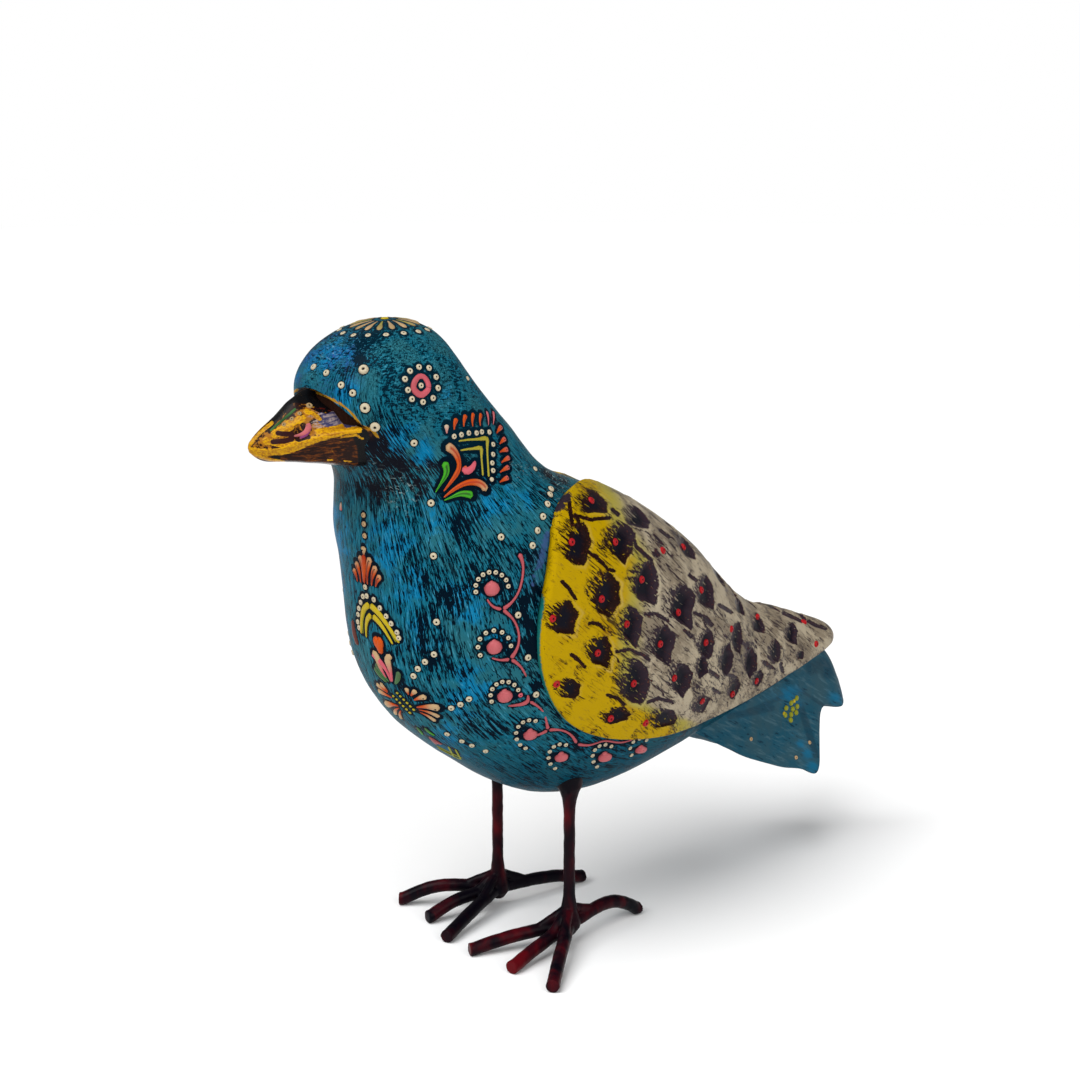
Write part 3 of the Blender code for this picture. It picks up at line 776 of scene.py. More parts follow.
@dataclass
class FoldedWings:
    """The two raised wing plates with their scooped feather marks."""

    OUTLINE = (
        (0.300, 0.890), (0.277, 0.800), (0.284, 0.577), (0.335, 0.486), (0.400, 0.410), (0.470, 0.361),
        (0.540, 0.348), (0.610, 0.408), (0.700, 0.447), (0.790, 0.430), (0.860, 0.465), (0.930, 0.560),
        (0.970, 0.660),
    )
    BACK = ((0.320, 0.950), (0.972, 0.985))
    MARKS = (
        FeatherMark((590, 501), 36, 29, (609, 513), 0.9, 1, (591, 500.5)),
        FeatherMark((573, 543), 36, 42, (584, 566), 0.8, 1.06, (571.5, 542)),
        FeatherMark((617, 540), 33, 37, (624, 563), 1.9, 1.1, (615, 542)),
        FeatherMark((634, 514), 32, 24, (648, 529), 1.3, 1.05),
        FeatherMark((560, 618), 37, 38, (575, 635), 1, 1, (552.5, 618.5)),
        FeatherMark((602, 593), 36, 45, (609, 618), 1.9, 1.05, (601.5, 599)),
        FeatherMark((641, 580), 36, 38, (656, 606), 1.8, 1.05, (641.5, 579.5)),
        FeatherMark((677, 603), 31, 38, (690.5, 629), 2, 1.15, (678, 612.5)),
        FeatherMark((703, 590), 21, 32, (715, 611), 1.6, 1.05, (701, 590)),
        FeatherMark((684, 543), 26, 26, (700, 562), 1.2, 1, (683, 547)),
        FeatherMark((628, 624), 25, 34, (635, 646), 2, 1.15, (626.5, 624)),
        FeatherMark((597, 650), 33, 29, (609, 669), 1.6, 1, (597.5, 653)),
        FeatherMark((659, 643), 30, 36, (668.5, 666), 1.9, 1.1, (660, 644)),
        FeatherMark((630, 680), 37, 43, (640, 704), 1.9, 1.1, (633.5, 683.5)),
        FeatherMark((704, 643), 20, 25, (711, 660), 1.7, 1.1, (705.5, 642.5)),
        FeatherMark((678, 678), 26, 32, (682, 697), 1.8, 1.1, (674, 678)),
        FeatherMark((701, 667), 13, 23, (699, 679), 1.5, 1.1),
        FeatherMark((725, 660), 15, 33, (727, 676), 1.7, 1.1),
        FeatherMark((749, 662), 15, 30, (750, 679), 1.7, 1.1),
        FeatherMark((736, 636), 14, 30, (741, 655), 1.5, 1, (731, 629)),
        FeatherMark((700, 705), 29, 23, (712, 713), 1.2, 0.95, (702, 701)),
        FeatherMark((660, 719), 36, 22, (676, 717), 1.1, 1.05, (645.5, 723)),
        FeatherMark((613, 716), 33, 18, (627, 717), 0.6, 1.10, (610.5, 718.5)),
        FeatherMark((566, 689), 27, 22, (575, 698), 0.6, 1.08, (556.5, 684)),
        FeatherMark((733, 689), 18, 22, (741, 699), 1.4, 1, (732, 694)),
        FeatherMark((757, 679), 17, 19, (764, 688), 1.3, 1, (756, 681)),
        FeatherMark((774, 650), 15, 24, (779, 664), 1.4, 1),
        FeatherMark((757, 621), 18, 22, (765, 634), 1.3, 1, (757, 617)),
        FeatherMark((790, 633), 14, 22, (797, 645), 1.5, 1.1),
        FeatherMark((799.5, 655), 12, 9, (806, 659.5), 0.7, 1),
        FeatherMark((717, 573), 16, 22, (726, 587), 1.1, 1),
        FeatherMark((739, 605), 14, 18, (747, 617), 1.1, 1),
    )
    BACK_MARKS = (
        (0.36, 0.93), (0.43, 0.88), (0.44, 0.955), (0.52, 0.92), (0.60, 0.955), (0.60, 0.87), (0.68, 0.92),
        (0.76, 0.95), (0.84, 0.93),
    )
    BACK_MARK = FeatherMark((0, 0), 17, 21, (5, 14), 1.3, 1.0)
    NICKS = (
        ((645.8, 614.2), (656.7, 614.2), (668.3, 620.4)),
        ((616.7, 652.1), (629.2, 649.6), (643.3, 655), (650, 660.8)),
        ((608.3, 695.4), (617.5, 698.3), (625, 704.2)), ((648.3, 702.5), (659.2, 698.3), (673.3, 702.5)),
        ((590, 623.3), (597.5, 623.3), (605.4, 628.8)), ((695, 612.9), (706.7, 617.5), (712.5, 625)),
        ((685, 630), (691.7, 636.7)), ((588, 551.5), (598.8, 558.5), (608.8, 569.2), (614.2, 570.8)),
        ((562.7, 581.5), (570.4, 590), (575.8, 599)), ((636.5, 546.2), (651.9, 560)),
        ((660.4, 530), (669.6, 536.9)), ((612.7, 509.2), (618.8, 514.6)),
        ((575.8, 515.4), (591.2, 519.2), (609.6, 517.7)), ((578, 517.7), (581.9, 530), (583.5, 535.4)),
        ((570, 502), (571, 514), (573, 524)), ((730, 675), (736.7, 677.5)),
        ((710.8, 670.8), (718.3, 677.5)), ((714, 689), (720, 693)), ((572, 655), (580, 661), (585, 667)),
        ((720, 605), (732, 612)), ((740, 640), (748, 647)), ((622, 531), (634, 541), (638, 548)),
        ((765, 662), (772, 668)), ((690, 575), (697, 580)), ((784, 613), (793, 617), (802, 621)),
        ((809, 621), (817, 625.5), (826, 628)), ((781, 664), (783, 672)),
    )
    SLASHED = (
        ((660, 552), 24, 1), ((597, 556), 16, 0.9), ((648, 600), 14, 0.7), ((668, 628), 14, 0.7),
        ((712, 680), 22, 0.9), ((590, 575), 14, 0.7), ((660, 690), 14, 0.6), ((630, 640), 12, 0.7),
        ((745, 640), 20, 0.7), ((700, 620), 16, 0.7), ((580, 515), 16, 0.8), ((600, 638), 12, 0.6),
        ((770, 670), 20, 0.6), ((620, 665), 12, 0.6),
    )
    CORNER = (((566, 497), 6, 1.0), ((560, 505), 6, 1.0), ((554, 515), 5, 0.8))
    STRAY_DOTS = ((662.5, 550.5), (803.5, 622), (816, 644))
    DOT_WIDTH = 7.4  # in pixels
    form: BirdForm
    thickness: float = 2.2 * MM
    root: float = 2.8 * MM
    tuck: float = 0.15  # how far in the under side starts, as a share of the wing's height
    carving: float = 0.14 * MM
    lip_height: float = 0.22 * MM
    nick_depth: float = 0.35 * MM
    nick_width: float = 4.4  # in pixels
    edge_drop: float = 0.8 * MM
    edge_radius: float = 1.8 * MM
    longest: float = 0.8  # how far a mark reaches along the surface, as a share of its larger size
    columns: int = 380
    rows: int = 225
    pieces: dict[str, Object] = field(default_factory=dict)

    def plate(self) -> tuple[Array, Array]:
        """Top sheet of the left wing, with more columns and rows near its edges.

        Returns:
            Grids of shares and of turns.
        """
        outline = np.array(self.OUTLINE)
        knots = chord_knots(outline * self.form.STRETCH)
        ends = np.array([0.0, 0.0006, 0.0014, 0.0028, 0.0048, 0.0074])
        along = np.concatenate([ends, np.linspace(0.0105, 1.0 - 0.0105, self.columns), 1.0 - ends[::-1]])
        sides = ends * 2.6
        across = np.concatenate([sides, np.linspace(0.028, 1.0 - 0.028, self.rows), 1.0 - sides[::-1]])
        lower = natural_spline(knots, outline, along * knots[-1])
        back = np.array(self.BACK)
        upper = back[0] + along[:, None] * (back[1] - back[0])
        grid = lower[:, None, :] * (1 - across[None, :, None]) + upper[:, None, :] * across[None, :, None]
        return grid[..., 0], grid[..., 1]

    def build(self, camera: PhotoCamera) -> None:
        """Shape both wings.

        Args:
            camera: finds the pixels of the marks.
        """
        form = self.form
        shares, turns = self.plate()
        points, normals = form.surface(shares, turns)
        steps_across = np.linalg.norm(np.diff(points, axis=1), axis=-1)
        low_edge = np.concatenate([np.zeros((len(points), 1)), np.cumsum(steps_across, axis=1)], axis=1)
        high_edge = low_edge[:, -1:] - low_edge
        steps_along = np.linalg.norm(np.diff(points, axis=0), axis=-1)
        front_edge = np.concatenate([np.zeros((1, points.shape[1])), np.cumsum(steps_along, axis=0)])
        rear_edge = front_edge[-1:] - front_edge
        edge = np.minimum(np.minimum(low_edge, high_edge), np.minimum(front_edge, rear_edge))
        shoulder = np.sqrt(np.clip(1.0 - (1.0 - np.minimum(edge / self.edge_radius, 1.0)) ** 2, 0.0, 1.0))
        height = -self.edge_drop + (self.thickness + self.edge_drop) * shoulder
        carving = ripple(points, 8 * MM, 21.0) + 0.5 * ripple(points, 3.5 * MM, 27.0)
        height = height + self.carving * carving * shoulder
        mask = PhotoMask(points + normals * self.thickness, normals, form, camera)
        scoop, ragged, depth, lip = self.scooped(mask)
        nick = mask.lines([(line, self.nick_width) for line in self.NICKS])
        height = height - depth * shoulder + self.lip_height * lip * shoulder - self.nick_depth * nick
        top = points + normals * height[..., None]
        ends = np.array([shares, turns])[:, :, [-1, -1, 0]]
        gap = self.tuck * (ends[:, :, 2] - ends[:, :, 0])
        ends[:, :, 1] += gap
        ends[:, :, 2] -= gap
        low_points, low_normals = form.surface(*ends)
        grid = np.concatenate([top, low_points - low_normals * self.root], axis=1)
        grid = self.wrapped(grid, 0)
        flow = self.wrapped(np.stack([front_edge, low_edge], axis=-1), 3)
        bright_edge = 3.0 * (1.0 - smoothstep(550, 610, mask.pixels[..., 1]))
        values = {"scoop": scoop, "ragged": ragged, "lip": lip, "cream": self.cream(mask.pixels),
                  "nick": nick, "slashed": mask.blots(self.SLASHED), "corner": mask.blots(self.CORNER),
                  "high_edge": high_edge / MM, "low_edge": low_edge / MM + bright_edge}
        values = {key: self.wrapped(value, 3) for key, value in values.items()}
        for name, here in (("left_wing", grid), ("right_wing", form.mirrored(grid))):
            self.pieces[name] = shell(name, here, flow, values)

    @staticmethod
    def wrapped(grid: Array, under: int) -> Array:
        """A grid of the top sheet, with columns for the under side and the first one again."""
        return np.concatenate([grid, np.repeat(grid[:, -1:], under, axis=1), grid[:, :1]], axis=1)

    def scooped(self, mask: PhotoMask) -> tuple[Array, ...]:
        """Paint, raggedness, depth and raised lip of all the feather marks at each point of the plate.

        Args:
            mask: the plate's points and their pixels.

        Returns:
            Four grids: paint from -1 to 1, raggedness and lip from 0 to 1, and depth in metres.
        """
        form = self.form
        fills = np.full(mask.seen.shape, -1.0)
        depths = np.zeros(mask.seen.shape)
        lips = np.zeros(mask.seen.shape)
        rags = np.full(mask.seen.shape, 0.5)
        marks = []
        for mark in self.MARKS:
            offset = mask.pixels - mark.middle
            missed = np.linalg.norm(offset, axis=-1) + 1000.0 * (mask.seen < 0.2)
            middle = mask.points.reshape(-1, 3)[np.argmin(missed)]
            reach = np.linalg.norm(mask.points - middle, axis=-1) / MM * PIXELS_PER_MM
            limit = self.longest * max(mark.width, mark.height)
            marks.append((mark, offset, mask.seen > 0.3, reach / limit))
        for share, turn in self.BACK_MARKS:
            middle, normal = (item[0] for item in form.surface(np.array([share]), np.array([turn])))
            tailwards = unit(form.points(np.array([share + 0.01]), np.array([turn]))[0] - middle)
            down = np.cross(normal, tailwards)
            offset = (mask.points - middle) / MM * PIXELS_PER_MM
            flat = np.stack([offset @ tailwards, offset @ (down * -np.sign(down[2]))], axis=-1)
            marks.append((self.BACK_MARK, flat, np.linalg.norm(offset, axis=-1) < 40, 0.0))
        for number, (mark, offset, near, reach) in enumerate(marks):
            x, y = offset[..., 0] / (0.5 * mark.width), offset[..., 1] / (0.5 * mark.height)
            tip = 2.0 * (np.array(mark.point) - mark.middle) / (mark.width, mark.height)
            radius = np.maximum(self.shield(x, y, tip, number), reach)
            rightness = np.clip(0.9 * x + 0.3 * y, -1.0, 1.0)
            bowl = np.clip(1.0 - radius ** np.where(rightness > 0, 6.0, 2.0), 0.0, 1.0)
            bowl = bowl * (0.62 + 0.38 * rightness)
            depths = np.maximum(depths, np.where(near, mark.depth * MM * bowl, 0.0))
            tone = np.where(near, (1.0 - radius) + (mark.fill - 1.0), -1.0)
            closer = tone > fills
            fills = np.where(closer, tone, fills)
            rags = np.where(closer, smoothstep(0.35, -0.65, rightness), rags)
            steep = np.clip(rightness, 0.0, 1.0)
            rim = np.exp(-((radius - 1.11) / 0.075) ** 2) * steep * min(mark.depth, 1.5) / 1.5
            lips = np.maximum(lips, np.where(near, rim, 0.0))
        return np.clip(fills, -1.0, 1.0), rags, depths, lips

    @staticmethod
    def shield(across: Array, down: Array, tip: Array, seed: int) -> Array:
        """How far out a place lies in a mark with straight cut sides, with 1 on the outline.

        Args:
            across: places to the right of the mark's middle, in half widths.
            down: places below it, in half heights.
            tip: the mark's point, in the same units.
            seed: gives each mark corners of its own.

        Returns:
            Distances from the middle, as shares of the way to the outline.
        """
        corners = np.array([(-0.80, -0.66), (-0.12, -0.98), (0.60, -0.90), (1.0, -0.28), (0.92, 0.40),
                            (-0.20, 0.84), (-0.86, 0.36), (-1.0, -0.2)])
        corners = corners + 0.10 * np.sin(seed * 2.4 + 1.7 * np.arange(16)).reshape(8, 2)
        corners = np.concatenate([corners, tip[None, :]])
        angles = np.arctan2(corners[:, 1], corners[:, 0])
        corners = corners[np.argsort(angles)]
        angles = np.sort(angles)
        turn = np.arctan2(down, across)
        index = np.searchsorted(angles, turn) % len(corners)
        start = corners[index - 1]
        span = corners[index] - start
        reach = ((start[..., 0] * span[..., 1] - start[..., 1] * span[..., 0])
                 / (np.cos(turn) * span[..., 1] - np.sin(turn) * span[..., 0]))
        return np.hypot(across, down) / reach / (1.0 + 0.03 * np.sin(9.0 * turn + seed))

    @staticmethod
    def cream(pixels: Array) -> Array:
        """How far the yellow paint gives way to cream, from 0 to 1.

        Args:
            pixels: pixels of the wing's points.

        Returns:
            The share of cream at each.
        """
        across, down = pixels[..., 0], pixels[..., 1]
        bulge = np.interp(down, [480, 520, 560, 610, 650, 690, 706, 722, 740],
                          [604, 618, 642, 632, 628, 630, 640, 682, 690])
        return np.clip((across - bulge) / 44.0 + 0.5, 0.0, 1.0)


class Canvas:
    """Carved surface that photograph pixels are cast onto."""

    MIDDLE = (0.0, 0.0, 0.13)  # of the bird, in metres

    def __init__(self, camera: PhotoCamera, form: BirdForm, pieces: Sequence[Object]) -> None:
        """Gather the surface of the pieces.

        Args:
            camera: casts the pixels.
            form: the bird's form.
            pieces: what is painted on.
        """
        self.camera = camera
        self.form = form
        bm = bmesh.new()
        for piece in pieces:
            bm.from_mesh(piece.data)
        bm.normal_update()
        self.tree = BVHTree.FromBMesh(bm)
        bm.free()

    def cast(self, pixel: Pixel) -> tuple[Array, Array]:
        """Point and normal of the surface behind a pixel.

        Args:
            pixel: where to look.

        Returns:
            The first point that the sight line meets, or else the nearest one, and the normal there.
        """
        start, direction = self.camera.ray(pixel)
        point, normal, _, _ = self.tree.ray_cast(start, direction)
        if point is None:
            middle = start + direction * (Vector(self.MIDDLE) - start).dot(direction)
            point, normal, _, _ = self.tree.find_nearest(middle)
        return np.array(point), np.array(normal)

    def near(self, place: Array) -> tuple[Array, Array]:
        """Nearest point and normal of the surface."""
        point, normal, _, _ = self.tree.find_nearest(Vector(place))
        return np.array(point), np.array(normal)


@dataclass
class ConePaint:
    """Raised paint squeezed from a cone: dots, lines and drops gathered into one piece."""

    SINK = 0.35 * MM
    FEWEST_POINTS = 8  # of a stroke
    POINT_SPACING = 2.2  # in pixels
    DROP_WIDTHS = (1.0, 0.86, 0.42, 0.18)  # from head to tail, as shares of the head's
    MIDDLE_LINE = (
        (363.5, 515), (364.5, 548), (366, 587), (371, 611), (379.5, 646), (391, 684), (403, 700.5),
        (431, 738),
    )
    name: str
    canvas: Canvas
    axis: Axis = Axis.BIRD
    swell: float = 0.62  # height of a bead for its half width
    ground: float = 0.0  # how far the dark ground reaches past the paint, in metres
    spots: list[tuple[Array, float]] = field(default_factory=list)

    def __post_init__(self) -> None:
        """Start an empty piece."""
        self.bm = bmesh.new()
        self.layer = self.bm.verts.layers.float_color.new("paint")
        line = [self.canvas.cast(pixel)[0] for pixel in self.MIDDLE_LINE]
        self.middle_line = np.array(line[::-1])

    def copies(self, path: Array, normals: Array) -> list[tuple[Array, Array]]:
        """A path with its normals, and its likeness across the motif's axis.

        Args:
            path: points on the surface.
            normals: outward normals there.

        Returns:
            One or two pairs of points and normals.
        """
        pairs = [(path, normals)]
        if self.axis is Axis.BIRD:
            pairs.append((self.canvas.form.mirrored(path), normals * (-1.0, 1.0, 1.0)))
        if self.axis is Axis.OWN:
            middle = np.interp(path[:, 2], self.middle_line[:, 2], self.middle_line[:, 0])
            other = path * (-1.0, 1.0, 1.0) + np.outer(2.0 * middle, (1.0, 0.0, 0.0))
            pairs.append(gathered([self.canvas.near(place) for place in other]))
        return pairs

    def patch(self, points: Array, colours: Array) -> None:
        """Add one wrapped sheet of points and colours.

        Args:
            points: grid of points.
            colours: colour of each.
        """
        rows, columns = points.shape[:2]
        made = bmesh.ops.create_grid(self.bm, x_segments=rows - 1, y_segments=columns - 1, size=1.0)
        for vert in made["verts"]:
            row = round((vert.co.x + 1.0) * 0.5 * (rows - 1))
            column = round((vert.co.y + 1.0) * 0.5 * (columns - 1))
            vert.co = points[row, column]
            vert[self.layer] = colours[row, column]

    def dot_at(self, point: Array, normal: Array, radius: float, colour: Paint = Paint.CREAM,
               pit: bool = True) -> None:
        """One dome of paint, with the pinhole left by the cone's tip, and its likeness."""
        for place, upward in self.copies(point[None, :], normal[None, :]):
            self.dome(place[0], upward[0], radius, colour, pit)

    def dome(self, point: Array, normal: Array, radius: float, colour: Paint, pit: bool) -> None:
        """One dome of paint.

        Args:
            point: where it stands.
            normal: the outward direction.
            radius: its radius in metres.
            colour: its colour.
            pit: whether the cone's tip left a hole.
        """
        beside = unit(np.cross(normal, [0.3, 0.2, 0.9]))
        ahead = np.cross(normal, beside)
        reach = np.array([0.0, 0.24, 0.34, 0.62, 0.88, 1.0, 1.0, 0.0]) * radius
        rise = np.array([0.12, 0.14, 0.46, 0.52, 0.34, 0.0, 0.0, 0.0]) * radius * self.swell / 0.62
        if not pit:
            rise[:3] = 0.5 * radius
        rise[6:] = -self.SINK
        angles = np.linspace(0.0, 2 * np.pi, 13)
        ring = beside * np.cos(angles)[:, None] + ahead * np.sin(angles)[:, None]
        points = point + ring[None, :, :] * reach[:, None, None] + normal * rise[:, None, None]
        points[:, -1] = points[:, 0]
        colours = np.tile(np.array(colour.value), (*points.shape[:2], 1))
        if pit:
            colours[:2] = Paint.PIT.value
        self.patch(points, colours)
        self.spots.append((point, radius + self.ground))

    def dot(self, pixel: Pixel, size: float = 6.2, colour: Paint = Paint.CREAM, pit: bool = True) -> None:
        """One dot at a pixel, with its width in pixels."""
        self.dot_at(*self.canvas.cast(pixel), 0.5 * size / PIXELS_PER_MM * MM, colour, pit)

    def dots(self, pixels: Sequence[Pixel], size: float = 6.2, colour: Paint = Paint.CREAM,
             pit: bool = True) -> None:
        """A run of dots."""
        for pixel in pixels:
            self.dot(pixel, size, colour, pit)

    def bead(self, path: Array, normals: Array, widths: Array, colours: Array,
             core: Paint | None = None) -> None:
        """One rounded bead along a path, with its half width and colour at every point, and its likeness.

        Args:
            path: points on the surface.
            normals: outward normals there.
            widths: half widths there.
            colours: colours there.
            core: colour along the crest, where it is darker.
        """
        angles = np.linspace(0.0, np.pi, 7)
        reach = np.append(np.cos(angles), (-0.8, 0.8, 1.0))
        rise = np.append(self.swell * np.sin(angles), (0.0, 0.0, 0.0))
        sink = np.append(np.zeros(7), (1.0, 1.0, 0.0)) * self.SINK
        for line, upward in self.copies(path, normals):
            beside = unit(np.cross(upward, unit(np.gradient(line, axis=0))))
            points = (line[:, None, :] + beside[:, None, :] * (reach[None, :] * widths[:, None])[..., None]
                      + upward[:, None, :] * (rise[None, :] * widths[:, None] - sink[None, :])[..., None])
            points[0] = line[0] - upward[0] * 0.5 * self.SINK
            points[-1] = line[-1] - upward[-1] * 0.5 * self.SINK
            points[:, -1] = points[:, 0]
            tones = np.repeat(colours[:, None, :], points.shape[1], axis=1)
            if core:
                tones[2:-2, 3] = core.value
            self.patch(points, tones)
            for point, width in zip(line[1:-1:2], widths[1:-1:2]):
                self.spots.append((point, float(width) + self.ground))

    def stroke(self, pixels: Sequence[Pixel], sizes: Sequence[float], *colours: Paint,
               core: Paint | None = None) -> None:
        """A line through pixels, with its widths and its colours spread along it.

        Args:
            pixels: points of the line.
            sizes: widths in pixels.
            colours: one colour or more.
            core: colour along the crest, where it is darker.
        """
        drawn = np.array(pixels, float)
        knots = chord_knots(drawn)
        count = max(self.FEWEST_POINTS, int(knots[-1] / self.POINT_SPACING))
        shares = np.linspace(0.0, 1.0, count)
        places = natural_spline(knots, drawn, shares * knots[-1])
        path, normals = gathered([self.canvas.cast(tuple(place)) for place in places])
        widths = spread(shares, sizes) * 0.5 / PIXELS_PER_MM * MM
        length = chord_knots(path)
        cap = np.minimum(length, length[-1] - length) / np.maximum(widths, 1e-6)
        widths = widths * np.sqrt(np.clip(1.0 - (1.0 - np.minimum(cap, 1.0)) ** 2, 0.0, 1.0))
        tones = np.array([colour.value for colour in colours])
        tones = np.stack([spread(shares, tones[:, part]) for part in range(4)], axis=-1)
        self.bead(path, normals, widths, tones, core)

    def drop(self, head: Pixel, tail: Pixel, size: float, *colours: Paint, bend: float = 0.0,
             pit: bool = False, core: Paint | None = None) -> None:
        """A drop of paint, round at its head and drawn out to its tail.

        Args:
            head: pixel of the wide end.
            tail: pixel of the thin end.
            size: width of the head in pixels.
            colours: colours from head to tail.
            bend: how far it bows aside, as a share of its length.
            pit: whether the cone's tip left a hole in the head.
            core: colour along the crest, where it is darker.
        """
        start, end = np.array(head, float), np.array(tail, float)
        along = end - start
        middle = 0.5 * (start + end) + bend * np.array([-along[1], along[0]])
        self.stroke([tuple(start), tuple(middle), tuple(end)], size * np.array(self.DROP_WIDTHS), *colours,
                    core=core)
        if pit:
            lead = start + along * min(0.4, 0.55 * size / max(float(np.hypot(*along)), 1.0))
            point, normal = self.canvas.cast(tuple(lead))
            lift = normal * self.swell * 0.42 * size / PIXELS_PER_MM * MM
            self.dot_at(point + lift, normal, 0.11 * size / PIXELS_PER_MM * MM, Paint.PIT, False)

    def finish(self, material: Material) -> None:
        """Close the piece and dress it."""
        show(close_mesh(self.name, mesh_of(self.name, self.bm)), material)


@dataclass
class Ornament:
    """The painted ornament, motif by motif, at the photograph's pixels."""

    EYE = (421.0, 385.5)
    EYE_DOTS = (
        (419, 367), (410, 371), (405, 379), (408, 390), (412, 399), (423, 402), (433, 398), (438, 388),
        (436, 377), (429, 368),
    )
    BROW_DOTS = ((326.4, 372.9), (341.2, 385), (352.6, 393), (313.8, 367))
    HEAD_DOTS = ((414, 443), (431, 503), (433.5, 556), (436.5, 622), (501, 537))
    BIG_HEAD_DOTS = ((365, 408), (375, 427))
    WING_FRONT_DOTS = ((551, 489), (550, 494.5), (547.5, 504), (543, 516.5), (537.5, 530.5), (532.5, 545.5))
    CROWN_CENTRE_Y = -58.8
    CROWN_REACHES = (12.8, 10.4, 8.0, 5.6, 3.4)  # points of a petal, from the middle
    CROWN_TONES = ((Paint.TAN, Paint.BEIGE), (Paint.BEIGE, Paint.TAN), (Paint.TAN, Paint.OLIVE))
    CROWN_BEAD_RADIUS = 16.2
    CROWN_PETALS = 16
    canvas: Canvas
    pieces: list[ConePaint] = field(default_factory=list)

    def start(self, name: str, axis: Axis = Axis.BIRD, swell: float = 0.62, ground: float = 0.0) -> ConePaint:
        """Begin a motif and keep it."""
        self.pieces.append(ConePaint(name, self.canvas, axis, swell, ground))
        return self.pieces[-1]

    def build(self) -> None:
        """Squeeze out every motif."""
        for motif in (self.head, self.crown, self.neck, self.vine, self.breast, self.belly, self.tail,
                      self.beak):
            motif()

    def head(self) -> None:
        """Eye rosettes and the loose dots."""
        motif = self.start("eye_rosettes", ground=0.5 * MM)
        angles = np.linspace(0.0, 2 * np.pi, 15)[:-1]
        ring = [(self.EYE[0] + (7.4 + 0.5 * math.sin(3 * a)) * math.cos(a),
                 self.EYE[1] + (9.0 + 0.5 * math.cos(4 * a)) * math.sin(a)) for a in angles]
        motif.stroke(ring + ring[:2], (5.0, 5.8, 4.6, 5.4), Paint.PINK, Paint.SALMON, Paint.PINK)
        motif.dot(self.EYE, 5.0)
        motif.dots(self.EYE_DOTS, 5.3)
        loose = self.start("loose_dots")
        loose.dots(self.HEAD_DOTS, 6.2)
        loose.dots(self.BIG_HEAD_DOTS, 8.6)
        loose.dots(self.WING_FRONT_DOTS, 6.2)
        loose.dot((535, 469), 5.0)
        loose.dot((467.5, 378.5), 4.2)
        single = self.start("single_dots", Axis.NONE)
        single.dots(self.BROW_DOTS, 6.0)
        single.dot((363.5, 369.5), 8.8)
        single.stroke(((352.8, 619), (354.6, 632), (358.4, 646)), (4.0, 7.0, 5.0), Paint.UMBER)
        single.stroke(((341.3, 502), (341, 506), (341.2, 511)), (2.4, 3.6, 4.2), Paint.CREAM, Paint.PINK)

    def crown(self) -> None:
        """Flower of drops on the crown, with a ring of beads."""
        motif = self.start("crown_flower", Axis.NONE, 0.34, 0.5 * MM)
        canvas = self.canvas
        middle = canvas.form.placed((0.0, self.CROWN_CENTRE_Y, 220.0))
        shares = np.linspace(0.0, 1.0, 9)
        widths = np.array([0.0, 0.75, 0.95, 0.8, 0.55, 0.4, 0.3, 0.22, 0.0]) * MM
        for number in range(self.CROWN_PETALS):
            angle = 2 * math.pi * number / self.CROWN_PETALS
            away = np.array([math.sin(angle), -math.cos(angle), 0.0])
            found = [canvas.near(middle + away * reach * MM) for reach in self.CROWN_REACHES]
            path, normals = gathered(found)
            knots = chord_knots(path)
            path = natural_spline(knots, path, shares * knots[-1])
            normals = unit(natural_spline(knots, normals, shares * knots[-1]))
            head, tail = (np.array(tone.value) for tone in self.CROWN_TONES[number % 3])
            motif.bead(path, normals, widths, head * (1 - shares[:, None]) + tail * shares[:, None])
            turned = np.array([math.sin(angle + 0.2), -math.cos(angle + 0.2), 0.0])
            motif.dot_at(*canvas.near(middle + turned * self.CROWN_BEAD_RADIUS * MM), 0.95 * MM)
        motif.dot_at(*canvas.near(middle), 1.3 * MM, Paint.YELLOW)

    def neck(self) -> None:
        """Square motif on the neck's side: nested corners, tulip, leaves, dots and drops."""
        motif = self.start("neck_motifs", ground=0.8 * MM)
        outer = (
            (457.2, 441.3), (470, 439.6), (482, 438.6), (486.4, 438.6), (487.2, 443), (487.6, 458),
            (488.8, 478),
        )
        inner = (
            (459.2, 450.6), (468, 449.2), (476, 448.2), (480.6, 448.2), (481.4, 453), (482, 464),
            (483, 477),
        )
        motif.stroke(outer, (1.2, 1.8, 2.2, 4.6, 2.2, 1.9, 1.9, 2.2), Paint.LEMON)
        motif.stroke(inner, (1.2, 1.8, 2.2, 4.4, 2.2, 1.8, 1.8, 2.0), Paint.LEMON)
        motif.stroke(((443.9, 461.4), (446.6, 471), (441.7, 482.2), (434.8, 493.6)), (7.0, 5.2, 2.0, 0.7),
                     Paint.GREEN, core=Paint.PINE)
        motif.stroke(((473.6, 495.6), (460.6, 493.9), (452.8, 496.7), (442.8, 500.9)), (7.6, 5.2, 2.2, 0.7),
                     Paint.GREEN, core=Paint.PINE)
        flame = (Paint.BEIGE, Paint.ORANGE, Paint.ORANGE, Paint.ORANGE)
        motif.stroke(((445.6, 445.6), (451.6, 449), (458, 458.9), (459, 467), (453.9, 477.8), (442.8, 492.4)),
                     (9.0, 6.4, 4.2, 4.4, 2.6, 0.8), *flame, core=Paint.RUST)
        motif.stroke(((486.4, 491.4), (482, 484.8), (469.4, 482.4), (458.3, 486.7), (442.8, 498.3)),
                     (6.8, 6.4, 4.4, 3.0, 0.8), *flame, core=Paint.RUST)
        motif.stroke(((462.6, 466.4), (465.4, 471), (470.6, 469.4), (475.4, 460)), (3.6, 6.8, 5.2, 2.2),
                     Paint.PINK)
        motif.stroke(((464.6, 465.6), (466.6, 470)), (2.6, 4.4), Paint.ORANGE, Paint.PINK)
